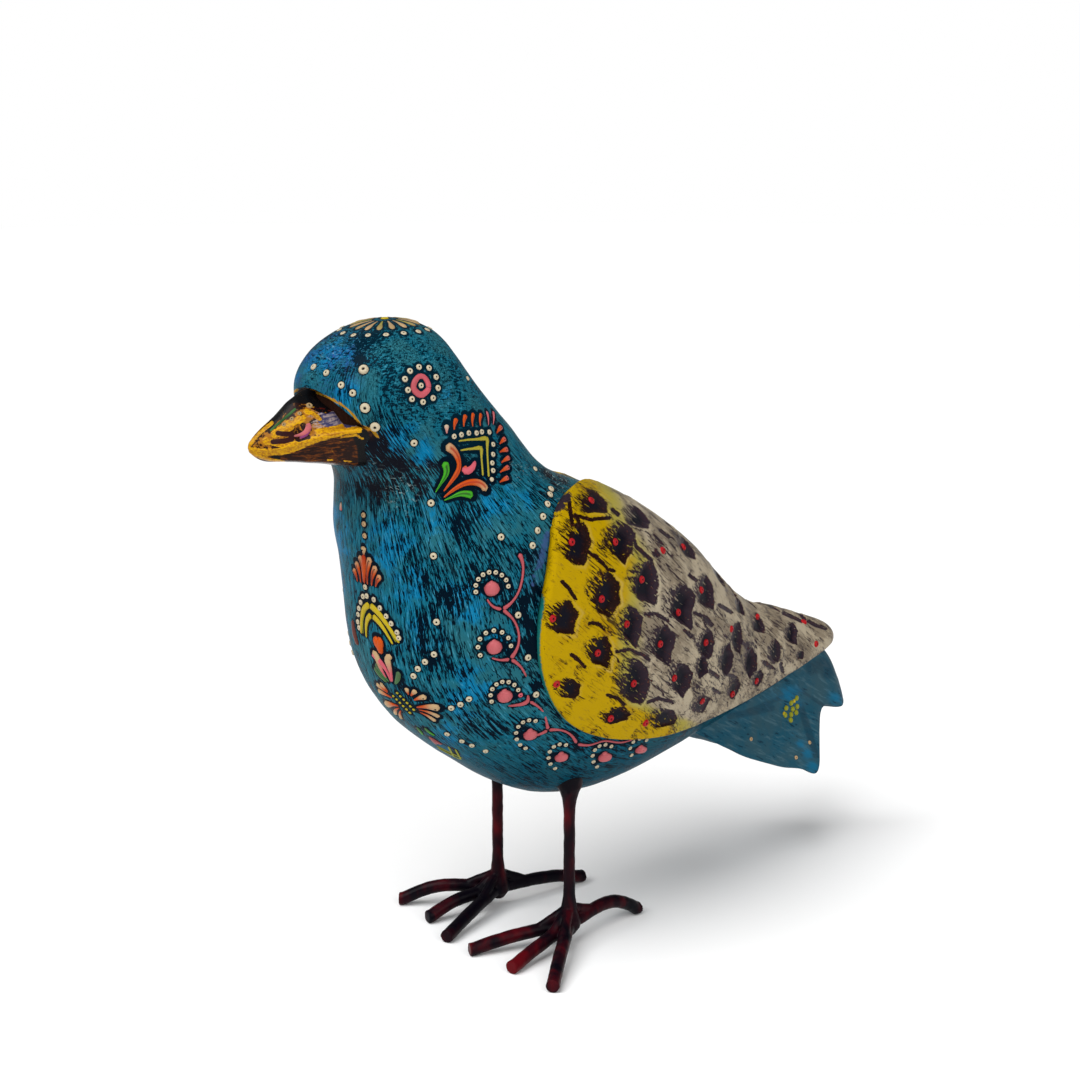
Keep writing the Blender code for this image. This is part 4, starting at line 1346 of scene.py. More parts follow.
        motif.dots(((454.1, 436.4), (461.3, 434.7), (468.7, 433), (476.4, 433), (481.7, 431.9),
                   (489.1, 432.2)), 4.9)
        motif.dots(((493, 444.4), (493, 454.4), (492.1, 463), (493, 470.6)), 4.7)
        motif.dot((491.7, 479.4), 4.2, Paint.CREAM, False)
        motif.drop((446.4, 424), (446.9, 434.4), 5.0, Paint.CREAM, Paint.BLUSH)
        tops = (
            ((456.7, 417.6), (454.2, 431), 4.8), ((465.9, 413.9), (463.9, 428), 4.6),
            ((473.5, 412), (473, 428), 4.2), ((481.1, 412.4), (480.5, 427.4), 4),
        )
        for head, tail, size in tops:
            motif.drop(head, tail, size, Paint.ORANGE, bend=0.06, core=Paint.RUST)
        for head, tail in (((486.3, 410), (488.4, 427)), ((493, 410.4), (493, 426))):
            motif.drop(head, tail, 3.2, Paint.BLUSH, bend=-0.05)
        sides = (
            ((501.7, 426.1), (496.3, 434)), ((505.6, 438), (499.2, 444.6)), ((508.1, 448.9), (499, 452.6)),
            ((510, 457), (500.6, 463.4)), ((509.7, 466.5), (499.2, 473)), ((509.1, 477), (499, 483)),
        )
        for head, tail in sides:
            motif.drop(head, tail, 4.8, Paint.BLUSH, Paint.ORANGE, Paint.RUST, bend=0.04, pit=True)

    def vine(self) -> None:
        """Vine with buds that runs down in front of the wing and back under it."""
        motif = self.start("vines", ground=0.25 * MM)
        lines = (
            (((519, 553), (522.5, 562), (522.5, 577), (518, 593), (510, 604), (502.5, 609.5)),
             (4.8, 2.4, 2.1, 2.1, 2.3, 4.2)),
            (((502.5, 609.5), (493, 606.5), (486.5, 598)), (3.4, 2.1, 1.5)),
            (((502.5, 609.5), (512, 618), (518.5, 632), (518, 646), (510.5, 659)),
             (3.8, 2.1, 2.1, 2.3, 4.4)), (((510.5, 659), (500, 660), (490.5, 657.5)), (3.8, 2, 1.5)),
            (((510.5, 659), (520, 666), (527, 678)), (3.8, 2.1, 1.5)),
            (((527.5, 694), (528, 700), (517, 705), (507, 706)), (1.6, 4.6, 2.8, 1.5)),
            (((529, 701), (538, 706.5), (544.5, 713)), (3.2, 2, 1.4)),
            (((545, 715.5), (546.5, 722), (548, 730)), (1.8, 2.2, 4.2)),
            (((548, 730), (540, 734), (533, 736)), (4, 2.8, 2.4)),
            (((548, 730), (560, 730), (571, 735), (577, 744)), (4, 2.1, 2.1, 3.4)),
            (((577, 744), (590, 745), (604, 741), (619, 742.5), (634, 739)), (3.4, 2, 2, 2, 1.6)),
        )
        for pixels, sizes in lines:
            motif.stroke(pixels, sizes, Paint.SALMON)
        buds = (
            ((492, 588.5), 8.4), ((494.5, 647), 8.4), ((505, 696), 8.2), ((530.5, 734.5), 7.4),
            ((561.5, 757), 6.8), ((605, 757), 6.6), ((641, 749.5), 5.4),
        )
        for middle, radius in buds:
            ends = (
                (middle[0] - radius, middle[1] - 0.1 * radius), (middle[0] - 0.3 * radius, middle[1]),
                (middle[0] + radius, middle[1] + 0.1 * radius),
            )
            motif.stroke(ends, (0.9 * radius, 1.7 * radius, 1.5 * radius, 0.8 * radius),
                         Paint.SALMON, Paint.BLUSH, Paint.SALMON)
            lobe = (
                (middle[0] - 0.5 * radius, middle[1] - 0.5 * radius),
                (middle[0] + 0.3 * radius, middle[1] - 0.4 * radius),
            )
            motif.stroke(lobe, (0.7 * radius, 1.0 * radius, 0.7 * radius), Paint.BLUSH, Paint.SALMON)
            point, normal = self.canvas.cast((middle[0] + 0.1 * radius, middle[1] - 0.1 * radius))
            motif.dot_at(point + normal * 0.75 * MM, normal, 0.32 * MM, Paint.UMBER, False)
        arcs = (
            ((492, 588.5), 16.5, 168, 352, 9), ((494.5, 647), 16.5, 150, 356, 8),
            ((505, 696), 14.5, 158, 335, 8), ((530.5, 734.5), 14.5, 110, 290, 8),
            ((561.5, 757), 13, 120, 290, 7), ((605, 757), 12.5, 130, 300, 7),
            ((641, 749.5), 11, 150, 300, 5),
        )
        for middle, radius, start, end, count in arcs:
            for angle in np.radians(np.linspace(start, end, count)):
                motif.dot((middle[0] + radius * math.cos(angle), middle[1] + radius * math.sin(angle)), 4.3)
        motif.dots(((518, 615), (528, 657.5), (536, 694.5)), 6.2)
        motif.dot((520.5, 695), 4.6, Paint.PINK)

    def breast(self) -> None:
        """Fan, corners and tulips down the middle of the breast."""
        line = self.start("breast_line", Axis.NONE, ground=0.3 * MM)
        line.dots(((363.6, 515), (364, 524), (364.7, 535.7)), 5.0, Paint.BEIGE)
        line.drop((363.7, 546), (363.8, 556), 7.0, Paint.BEIGE, Paint.BEIGE, Paint.RUST, pit=True)
        line.stroke(((363.8, 554), (364, 568), (364.3, 584)), (5.4, 6.2, 2.6), Paint.RUST, Paint.ORANGE,
                    Paint.RUST)
        line.dots(((365.3, 587), (366.9, 596)), 5.2)
        motif = self.start("breast_motif", Axis.OWN, 0.55, 0.7 * MM)
        fan = (
            ((370.4, 557), (367.6, 586), 6.4), ((376.2, 565.6), (371.4, 587.2), 6.2),
            ((380.6, 575), (375.2, 588), 5.8),
        )
        for head, tail, size in fan:
            motif.drop(head, tail, size, Paint.BEIGE, Paint.ORANGE, Paint.RUST, Paint.ORANGE, bend=0.06,
                       pit=True, core=Paint.BARK)
        motif.dots(((373.9, 599.6), (380, 608), (386.2, 616.2), (391.2, 623.6), (397, 632.4), (398.8, 638)),
                   5.2)
        motif.stroke(((369.6, 604.6), (376, 610.4), (388.4, 626.6), (399.8, 643.8)), (6.4, 5.4, 3.8, 2.4),
                     Paint.YELLOW)
        motif.stroke(((372.2, 615.2), (378, 621), (386.4, 633), (393.4, 645.4)), (6.0, 4.8, 3.0, 1.8),
                     Paint.YELLOW)
        motif.stroke(((374.4, 611), (381, 618.6), (389, 630), (396.6, 643.4)), (1.2, 1.6, 1.4, 1.2),
                     Paint.OLIVE)
        motif.stroke(((377.6, 636), (380.2, 643.5), (379.8, 648), (381.6, 655)), (3.0, 8.8, 7.4, 3.0),
                     Paint.ORANGE)
        motif.stroke(((392.8, 658), (388.8, 657), (389.6, 668), (392.2, 682.5)), (5.4, 7.4, 3.6, 2.0),
                     Paint.BEIGE, Paint.BEIGE, Paint.PINK, Paint.PINK)
        motif.stroke(((398.4, 671), (398, 677.5), (394.6, 685)), (4.8, 5.6, 1.8), Paint.SAGE, Paint.MOSS)
        tulip = self.start("tulip", Axis.NONE, 0.55, 0.5 * MM)
        tulip.stroke(((372, 652), (376.5, 657.5), (383, 665), (391.8, 683)), (6.6, 6.2, 3.6, 2.0), Paint.PINK)
        tulip.stroke(((375, 662.5), (381, 671.5), (389.6, 682.5)), (4.4, 4.6, 1.8), Paint.SAGE, Paint.MOSS)
        beside = self.start("breast_dots")
        beside.dots(((413.5, 676), (417.8, 668.8), (425, 661.8), (434, 654.4)), 5.8)
        beside.dots(((451.2, 708), (460.4, 704.4), (469, 699)), 5.8)
        beside.dots(((447.1, 734), (461.8, 741), (471.8, 745.4), (485.5, 751)), 5.2)

    def belly(self) -> None:
        """Flower below the breast and the marks behind it."""
        centre = self.start("flower_centre", Axis.NONE, 0.55, 0.4 * MM)
        for row in range(6):
            for side in (-1.9, 1.9):
                spot = (394.5 + 3.3 * row + side, 693.4 + 3.3 * row - 0.8 * side)
                centre.stroke((spot, (spot[0] + 1.6, spot[1] + 2.4)), (3.2, 3.0), Paint.YELLOW, Paint.OLIVE)
        motif = self.start("belly_flower", Axis.OWN, 0.55, 0.6 * MM)
        petals = (
            ((406.4, 687.4), (409, 695.4), 5), ((416.4, 690.2), (410.4, 696.6), 5.6),
            ((427, 696.6), (412.6, 700.8), 6.4), ((440.6, 708.2), (415, 707.6), 8.6),
            ((440.4, 717.4), (417, 709.4), 4.6), ((436.6, 722), (418, 711.6), 4.2),
        )
        for head, tail, size in petals:
            motif.drop(head, tail, size, Paint.BEIGE, Paint.BEIGE, Paint.ORANGE, Paint.RUST, bend=0.05,
                       pit=size > 6.0)
        motif.stroke(((424, 727), (429, 732), (435.5, 736)), (2.2, 3.4, 1.8), Paint.SAGE, Paint.GREEN)
        motif.stroke(((428.6, 736.2), (435, 740.6), (442.6, 745)), (3.2, 5.0, 3.2), Paint.ROSE)
        motif.stroke(((447.8, 745.6), (451, 751.5), (454.6, 758)), (2.0, 2.0, 1.8), Paint.OLIVE)
        motif.stroke(((454.8, 748.4), (458, 754), (461.6, 760.6)), (2.0, 2.0, 1.8), Paint.OLIVE)

    def tail(self) -> None:
        """Dots on the tail's lobes."""
        motif = self.start("tail_dots")
        cluster = (
            (786, 708), (791, 703), (796.5, 698), (785, 715), (791, 714.5), (797, 706.5), (790.5, 720),
            (796, 712.5), (792.5, 709),
        )
        motif.dots(cluster, 6.2, Paint.OLIVE, False)
        motif.dots(((784, 713.5), (794, 701)), 4.6, Paint.YELLOW, False)
        motif.dots(((751, 739), (796, 757.5), (809.5, 742.5)), 4.4, Paint.BEIGE)

    def beak(self) -> None:
        """Line, dots and curl on the beak's upper half."""
        motif = self.start("beak_marks", Axis.BIRD, 0.45)
        motif.stroke(((296.8, 407.4), (288, 415.5), (278, 424), (269, 432)), (2.0, 2.6, 2.4, 1.4),
                     Paint.MOSS, Paint.PINE, Paint.MOSS)
        motif.dots(((299.5, 413.4), (291.8, 418.8), (283.8, 424.4)), 3.8, Paint.TAN)
        motif.dot((309.4, 405.6), 6.0, Paint.TAN)
        motif.stroke(((305.6, 423.6), (308.4, 425.6), (307.6, 430), (301, 434.6), (292.5, 436.4)),
                     (5.0, 5.6, 4.0, 2.4, 1.4), Paint.BLUSH, Paint.BLUSH, Paint.ROSE)
        motif.stroke(((310.4, 430), (306, 435), (298.5, 438.4)), (2.0, 2.6, 1.6), Paint.PURPLE)

    def ground(self) -> tuple[Array, Array]:
        """Places and half widths of everything that stands on dark ground."""
        spots = [spot for motif in self.pieces for spot in motif.spots]
        return np.array([spot[0] for spot in spots]), np.array([spot[1] for spot in spots])


class Recipe:
    """Short hand for the nodes of one material."""

    def __init__(self, name: str) -> None:
        """Start a material with its shader and output alone.

        Args:
            name: the material's name.
        """
        self.material = bpy.data.materials.new(name)
        self.material.use_nodes = True
        self.tree = self.material.node_tree
        self.shader = self.tree.nodes["Principled BSDF"]

    def node(self, kind: str, inputs: dict | None = None, **settings: object) -> bpy.types.Node:
        """Add a node.

        Args:
            kind: its type.
            inputs: values or links by the name or number of the input.
            settings: its other settings.

        Returns:
            The node.
        """
        made = self.tree.nodes.new(kind)
        for key, value in settings.items():
            setattr(made, key, value)
        for key, value in (inputs or {}).items():
            self.feed(made.inputs[key], value)
        return made

    def feed(self, socket: Socket, value: object) -> None:
        """Link a socket or set its value.

        Args:
            socket: an input.
            value: a socket, or a value that suits the input.
        """
        if isinstance(value, Socket):
            self.tree.links.new(value, socket)
        else:
            socket.default_value = value

    def value(self, name: str) -> Socket:
        """A piece's own attribute."""
        return self.node("ShaderNodeAttribute", attribute_name=name).outputs["Fac"]

    def tone(self, name: str) -> Socket:
        """A piece's own colour attribute."""
        return self.node("ShaderNodeAttribute", attribute_name=name).outputs["Color"]

    def place(self) -> Socket:
        """Object coordinates."""
        return self.node("ShaderNodeTexCoord").outputs["Object"]

    def flow(self) -> Socket:
        """The piece's UV map, in metres along and round it."""
        return self.node("ShaderNodeUVMap", uv_map="flow").outputs["UV"]

    def math(self, operation: str, *inputs: object) -> Socket:
        """Result of one step of arithmetic."""
        return self.node("ShaderNodeMath", dict(enumerate(inputs)), operation=operation).outputs[0]

    def noise(self, vector: Socket, scale: float, detail: float = 4.0, roughness: float = 0.6,
              distortion: float = 0.0) -> Socket:
        """Noise from 0 to 1, scaled per metre."""
        return self.node("ShaderNodeTexNoise", {"Vector": vector, "Scale": scale, "Detail": detail,
                                                "Roughness": roughness, "Distortion": distortion}).outputs[0]

    def streaks(self, vector: Socket, scale: Sequence[float], detail: float, roughness: float,
                distortion: float = 0.0, turn: Sequence[float] = (0.0, 0.0, 0.0)) -> Socket:
        """Noise drawn out into streaks, from 0 to 1.

        Args:
            vector: coordinates, which are turned and then scaled.
            scale: how close the streaks are along each axis, per metre.
            detail: how many finer layers there are.
            roughness: how strong the finer layers are.
            distortion: how far the streaks wander.
            turn: how far the axes are turned, in radians.

        Returns:
            The noise.
        """
        turned = self.node("ShaderNodeMapping", {"Vector": vector, "Rotation": turn}).outputs[0]
        scaled = self.node("ShaderNodeMapping", {"Vector": turned, "Scale": scale}).outputs[0]
        return self.noise(scaled, 1.0, detail, roughness, distortion)

    def sum(self, *terms: object) -> Socket:
        """Sum of sockets, numbers and (socket, factor) pairs.

        Args:
            terms: what is added up.

        Returns:
            The sum.
        """
        total: object = 0.0
        for term in terms:
            pair = isinstance(term, tuple)
            total = self.math("MULTIPLY_ADD", *term, total) if pair else self.math("ADD", term, total)
        return total

    def times(self, first: object, second: object) -> Socket:
        """Product."""
        return self.math("MULTIPLY", first, second)

    def thin(self, value: Socket, width: float) -> Socket:
        """Thin lines, where a noise passes its middle."""
        return self.rise(self.math("ABSOLUTE", self.math("SUBTRACT", value, 0.5)), width, 0.4 * width)

    def blend(self, factor: object, first: object, second: object) -> Socket:
        """Number between two numbers."""
        return self.node("ShaderNodeMix", {0: factor, 2: first, 3: second}, data_type="FLOAT").outputs[0]

    def most(self, first: object, second: object) -> Socket:
        """The larger of two."""
        return self.math("MAXIMUM", first, second)

    def rise(self, value: object, low: float, high: float, start: float = 0.0,
             end: float = 1.0) -> Socket:
        """Smooth rise from start to end while the value goes from low to high."""
        inputs = {"Value": value, "From Min": low, "From Max": high, "To Min": start, "To Max": end}
        return self.node("ShaderNodeMapRange", inputs, interpolation_type="SMOOTHSTEP").outputs[0]

    def mix(self, factor: object, first: object, second: object) -> Socket:
        """Colour between two colours."""
        return self.node("ShaderNodeMix", {0: factor, 6: first, 7: second}, data_type="RGBA").outputs[2]

    def finish(self, colour: object, roughness: object, height: object, depth: float,
               **constants: float) -> Material:
        """Wire the shader: colour, roughness, bump from a height, and constants by socket name.

        Args:
            colour: base colour.
            roughness: how dull it is.
            height: height of the bumps.
            depth: metres for a height of 1.
            constants: other inputs, by name.

        Returns:
            The material.
        """
        self.feed(self.shader.inputs["Base Color"], colour)
        self.feed(self.shader.inputs["Roughness"], roughness)
        bump = self.node("ShaderNodeBump", {"Height": height, "Strength": 1.0, "Distance": depth})
        self.feed(self.shader.inputs["Normal"], bump.outputs[0])
        for name, value in constants.items():
            socket = name.replace("_", " ").title().replace("Ior", "IOR")
            self.shader.inputs[socket].default_value = value
        return self.material


@dataclass(frozen=True)
class BrushedBlue:
    """Turquoise brushed thinly over black, as on the body."""

    cover: float = 0.095  # how much of the black is brushed over
    black: Colour = shade(0, 14, 27)
    brown: Colour = shade(15, 16, 24)
    dusk: Colour = shade(0, 32, 46)
    teal: Colour = shade(12, 92, 113)
    grey: Colour = shade(34, 94, 106)
    light: Colour = shade(74, 148, 168)
    azure: Colour = shade(8, 108, 149)
    shaded: Colour = shade(0, 48, 66)
    violet: Colour = shade(38, 56, 124)
    painted_highlight: Colour = shade(150, 176, 176)
    band: Colour = shade(58, 84, 132)
    umber: Colour = shade(46, 27, 20)
    gold: Colour = shade(168, 122, 30)

    def build(self) -> Material:
        """Strokes, hairs and tints over the black ground.

        Returns:
            The material, which reads the body's masks.
        """
        r = Recipe("brushed_blue")
        flow, place = r.flow(), r.place()
        strokes = r.streaks(flow, (170.0, 1500.0, 1.0), 4.0, 0.62, 0.6)
        fine = r.streaks(flow, (520.0, 2900.0, 1.0), 3.0, 0.6)
        cross = r.streaks(flow, (1500.0, 340.0, 1.0), 4.0, 0.62, 0.8)
        swirl = r.streaks(flow, (640.0, 1300.0, 1.0), 3.0, 0.6, 1.0, turn=(0.0, 0.0, 0.6))
        grain = r.noise(place, 1300.0, 4.0, 0.7)
        patch = r.noise(place, 75.0, 4.0, 0.6, 0.6)
        broad = r.noise(place, 24.0, 2.0, 0.5)
        head = r.value("head")
        body_streak = r.sum((strokes, 1.0), (fine, 0.6), -0.8)
        head_streak = r.sum((cross, 0.9), (swirl, 0.7), (grain, 0.25), -0.925)
        streak = r.blend(head, body_streak, head_streak)
        field_noise = r.sum((patch, 0.55), (broad, 0.30), -0.425)
        # Less blue over the black where the dark mask lies: painted shade under the cheeks and chin and in
        # the hollows before the wings, and darker ground round the neck motif.
        wear_and_shade = r.sum((r.value("dark"), -0.19), (r.value("rear_and_belly_shade"), 0.02))
        hairs = r.thin(r.streaks(flow, (70.0, 640.0, 1.0), 2.0, 0.5, 0.7), 0.026)
        nips = r.thin(r.streaks(flow, (520.0, 420.0, 1.0), 2.0, 0.5, 1.2), 0.030)
        hair = r.times(r.blend(head, hairs, nips), r.rise(patch, 0.42, 0.56, 0.25, 0.9))
        cover = r.sum(streak, field_noise, wear_and_shade, self.cover)
        halo = r.rise(r.sum(r.value("halo"), (grain, -1.2), 0.6), 0.15, 0.55)
        painted = r.times(r.times(r.rise(cover, -0.01, 0.03), halo), r.sum((hair, -1.0), 1.0))
        tint = r.mix(r.rise(patch, 0.40, 0.62), self.teal, self.grey)
        # The azure mask is bluer paint, and on the brow a painted highlight.
        bluer = r.sum(r.value("azure"), (streak, 1.2), (patch, 0.8), -0.6)
        tint = r.mix(r.rise(bluer, 0.15, 0.65), tint, self.azure)
        # Violet paint on the brow, and a painted reflection in the hollow before the wing.
        tint = r.mix(r.times(r.value("violet"), r.rise(grain, 0.40, 0.6)), tint, self.violet)
        tint = r.mix(r.times(r.rise(streak, 0.08, 0.22), 0.5), tint, self.light)
        # Painted shade: the rear of the body and the low belly go to the shaded blue.
        tint = r.mix(r.times(r.value("rear_and_belly_shade"), 0.8), tint, self.shaded)
        ground = r.mix(r.times(head, 0.75), self.black, self.dusk)
        ground = r.mix(r.rise(r.sum(r.value("brown"), (grain, 0.5), -0.25), 0.3, 0.9), ground, self.brown)
        colour = r.mix(painted, ground, tint)
        # Painted highlight: pale streaks on the throat, the crown and by the nape.
        highlight_streaks = r.times(r.value("painted_highlight"), r.rise(r.sum(cross, (grain, 0.6)), 0.88, 1.0, 0.0, 0.8))
        colour = r.mix(highlight_streaks, colour, self.painted_highlight)
        band = r.rise(r.sum(r.value("band"), (strokes, 1.2), -0.6), 0.3, 0.9, 0.0, 0.8)
        colour = r.mix(band, colour, self.band)
        # Umber under the brow's eave: dark paint with painted shade in the recess.
        colour = r.mix(r.rise(r.sum(r.value("under_brow"), (grain, 0.2)), 0.2, 0.6), colour, self.umber)
        colour = r.mix(r.rise(r.sum(r.value("gold"), (grain, 0.9), -0.45), 0.35, 0.6), colour, self.gold)
        height = r.sum((painted, 0.6), (streak, 0.6), (grain, 0.15))
        return r.finish(colour, r.rise(painted, 0.0, 1.0, 0.28, 0.40), height, 0.00018,
                        specular_ior_level=0.02)


@dataclass(frozen=True)
class WingPaint:
    """Yellow and cream dry brushed over dark brown, which shows through at the scooped marks."""

    yellow: Colour = shade(170, 138, 0)
    deep: Colour = shade(128, 88, 2)
    lime: Colour = shade(154, 142, 60)
    cream: Colour = shade(166, 154, 132)
    grey: Colour = shade(128, 116, 98)
    shadow: Colour = shade(96, 66, 30)
    lip: Colour = shade(196, 184, 150)
    dark: Colour = shade(30, 14, 10)
    plum: Colour = shade(44, 34, 42)
    rust: Colour = shade(96, 46, 26)
    deep_blue: Colour = shade(14, 14, 24)
    teal: Colour = shade(24, 104, 100)
    wear_and_shade: Colour = shade(78, 76, 74)

    def build(self) -> Material:
        """Yellow that gives way to cream, with the dark brown bared in the scooped marks.

        Returns:
            The material, which reads the wings' masks.
        """
        r = Recipe("wing_paint")
        place = r.place()
        sweep = (math.radians(39.0), 0.0, 0.0)
        strokes = r.streaks(place, (900.0, 260.0, 1500.0), 4.0, 0.6, 0.5, turn=sweep)
        slashes = r.streaks(place, (500.0, 130.0, 700.0), 3.0, 0.55, 0.8, turn=sweep)
        grain = r.noise(place, 1300.0, 4.0, 0.7)
        patch = r.noise(place, 90.0, 4.0, 0.6, 0.5)
        zone, scoop, ragged = r.value("cream"), r.value("scoop"), r.value("ragged")
        flecks = r.streaks(place, (1100.0, 210.0, 1500.0), 2.0, 0.6, 0.5, turn=sweep)
        torn = r.sum((strokes, 0.7), (flecks, 1.6), -1.15)
        edge_noise = r.blend(ragged, r.times(r.sum(grain, -0.5), 0.25), torn)
        inside = r.rise(r.sum(scoop, edge_noise), 0.0, 0.05)
        left_over = r.sum((flecks, 1.2), (strokes, 0.4), (ragged, 0.24), (patch, 0.2), -1.07)
        bare = r.times(inside, r.rise(left_over, 0.07, 0.04))
        slash_level = r.sum(slashes, (patch, 0.35), (grain, 0.2), (r.value("slashed"), 0.15), (zone, 0.035))
        nicks = r.rise(slash_level, 0.975, 1.0)
        drawn_nicks = r.rise(r.sum(r.value("nick"), (strokes, 2.2), (grain, 0.8), -1.5), 0.56, 0.66)
        hairs = r.thin(r.streaks(place, (420.0, 70.0, 700.0), 2.0, 0.5, 0.8, turn=sweep), 0.034)
        where = r.sum(patch, (zone, 0.08), (r.value("slashed"), 0.15))
        hairs = r.times(hairs, r.rise(where, 0.46, 0.60, 0.0, 0.9))
        bare = r.most(r.most(bare, r.most(nicks, hairs)), drawn_nicks)
        yellow = r.mix(r.rise(r.sum(patch, (strokes, 0.5)), 0.80, 1.05), self.yellow, self.deep)
        cream = r.mix(r.rise(r.sum(patch, (strokes, 0.5), (grain, 0.3)), 0.78, 1.0), self.cream, self.grey)
        edge = r.sum(zone, (patch, 0.5), -0.25)
        paint = r.mix(r.rise(edge, 0.12, 0.5), yellow, self.lime)
        paint = r.mix(r.rise(edge, 0.45, 0.95), paint, cream)
        paint = r.mix(r.rise(strokes, 0.42, 0.30, 0.0, 0.45), paint, self.shadow)
        # Painted highlight: lighter cream on the raised lips at the marks' steep sides.
        paint = r.mix(r.times(r.value("lip"), 0.18), paint, self.lip)
        under = r.mix(r.rise(r.sum(zone, (patch, 0.8)), 0.45, 1.2), self.dark, self.plum)
        under = r.mix(r.times(r.rise(r.sum(grain, (strokes, 0.6)), 0.88, 1.0), 0.6), under, self.rust)
        # Deep blue in the steep, deepest part of each mark: dark paint with painted shade.
        under = r.mix(r.times(r.rise(scoop, 0.1, 0.6), r.rise(ragged, 0.6, 0.1)), under, self.deep_blue)
        colour = r.mix(bare, paint, under)
        rim = r.rise(r.sum(r.value("low_edge"), (grain, 0.8), -0.4), 0.62, 0.32)
        colour = r.mix(rim, colour, self.teal)
        worn_back = r.rise(r.sum(r.value("high_edge"), (patch, 6.0), -3.0), 2.2, 0.6)
        colour = r.mix(r.times(worn_back, 0.8), colour, self.wear_and_shade)
        corner = r.rise(r.sum(r.value("corner"), (strokes, 1.4), -0.7), 0.3, 0.55)
        colour = r.mix(corner, colour, self.plum)
        height = r.sum((bare, -0.8), (strokes, 0.5), (grain, 0.2))
        return r.finish(colour, r.rise(bare, 0.0, 1.0, 0.46, 0.28), height, 0.0002,
                        specular_ior_level=0.03)


@dataclass(frozen=True)
class BeakPaint:
    """Gold, violet and brown glazes on the beak."""

    gold: Colour = shade(196, 146, 10)
    ochre: Colour = shade(150, 96, 20)
    amber: Colour = shade(114, 58, 12)
    brown: Colour = shade(32, 13, 8)
    plum: Colour = shade(44, 18, 18)
    violet: Colour = shade(60, 58, 92)
    black: Colour = shade(10, 10, 12)
    red: Colour = shade(90, 24, 14)
    painted_highlight: Colour = shade(164, 148, 144)

    def build(self) -> Material:
        """Brushed gold over brown, with violet and black, a painted highlight and painted shade.

        Returns:
            The material, which reads the beak's masks.
        """
        r = Recipe("beak_paint")
        place = r.place()
        blots = r.noise(place, 300.0, 4.0, 0.65, 0.8)
        grain = r.noise(place, 1300.0, 4.0, 0.7)
        lines = r.streaks(r.flow(), (260.0, 1500.0, 1.0), 4.0, 0.6, 0.6)
        uneven = r.sum((blots, 1.3), (grain, 0.5), -0.9)
        spot = r.value("spot")
        upper = r.mix(r.rise(uneven, -0.05, 0.05), self.brown, self.ochre)
        lower = r.mix(r.rise(r.sum(lines, (blots, 0.5)), 0.74, 0.92, 0.0, 0.75), self.brown, self.amber)
        colour = r.mix(r.rise(spot, 3.05, 3.2), upper, lower)
        colour = r.mix(r.rise(r.sum(r.value("violet"), uneven), 0.3, 0.55), colour, self.violet)
        # Painted highlight: pale streaks in the violet patch near the gape.
        beak_highlights = r.times(r.value("highlight_streaks"), r.rise(r.sum(lines, (grain, 0.5)), 0.70, 0.86, 0.0, 0.85))
        colour = r.mix(beak_highlights, colour, self.painted_highlight)
        colour = r.mix(r.rise(r.sum(r.value("black"), (uneven, 0.5)), 0.35, 0.6), colour, self.black)
        specks = r.times(r.value("black"), r.rise(r.sum(blots, (grain, 0.4)), 0.76, 0.84))
        beside = r.times(r.rise(spot, 1.5, 1.8), r.rise(spot, 3.05, 2.95))
        colour = r.mix(r.times(specks, beside), colour, self.red)
        bright = r.mix(r.rise(r.sum(grain, (lines, 0.8)), 0.75, 1.0), self.ochre, self.gold)
        brushed = r.sum(r.value("gold"), (uneven, 0.8), (lines, 1.6), -0.8)
        colour = r.mix(r.rise(brushed, 0.33, 0.50), colour, bright)
        colour = r.mix(r.rise(r.sum(r.value("plum"), (uneven, 0.8)), 0.4, 0.6), colour, self.plum)
        height = r.sum((grain, 0.3), (lines, 0.5), (r.value("gold"), 0.8))
        return r.finish(colour, 0.26, height, 0.00018, specular_ior_level=0.07, coat_weight=0.04,
                        coat_roughness=0.07)


@dataclass(frozen=True)
class TailPaint:
    """Dull blue washes on the tail, with brighter blue as a painted highlight."""

    teal: Colour = shade(28, 74, 92)
    grey: Colour = shade(44, 76, 88)
    light: Colour = shade(76, 104, 114)
    azure: Colour = shade(8, 98, 134)
    black: Colour = shade(14, 34, 50)

    def build(self) -> Material:
        """Streaked blue with painted shade along the creases and painted highlights.

        Returns:
            The material, which reads the tail's masks.
        """
        r = Recipe("tail_paint")
        place = r.place()
        sweep = (math.radians(30.0), 0.0, 0.0)
        strokes = r.streaks(place, (500.0, 120.0, 800.0), 4.0, 0.6, 0.4, turn=sweep)
        patch = r.noise(place, 90.0, 4.0, 0.6, 0.5)
        grain = r.noise(place, 1100.0, 3.0, 0.7)
        colour = r.mix(r.rise(patch, 0.40, 0.62), self.teal, self.grey)
        colour = r.mix(r.rise(strokes, 0.52, 0.68, 0.0, 0.5), colour, self.light)
        thinned = r.rise(r.sum(strokes, (patch, 0.6), (grain, 0.2)), 0.80, 0.72, 0.0, 0.8)
        colour = r.mix(thinned, colour, self.black)
        # Painted shade: dark lines along the creases and under the wing's lower edge.
        crease_shade = r.rise(r.sum(r.value("crease_shade"), (strokes, 1.8), -0.9), 0.3, 1.3, 0.0, 0.5)
        colour = r.mix(crease_shade, colour, self.black)
        # Painted highlight: brighter azure along the lobe's ridge and edge and by the crease.
        tail_highlight = r.rise(r.sum(r.value("tail_highlight"), (strokes, 1.6), (patch, 0.8), -1.2), 0.25, 1.0, 0.0, 0.75)
        colour = r.mix(tail_highlight, colour, self.azure)
        height = r.sum((strokes, 0.7), (grain, 0.2))
        return r.finish(colour, 0.5, height, 0.00015, specular_ior_level=0.03)


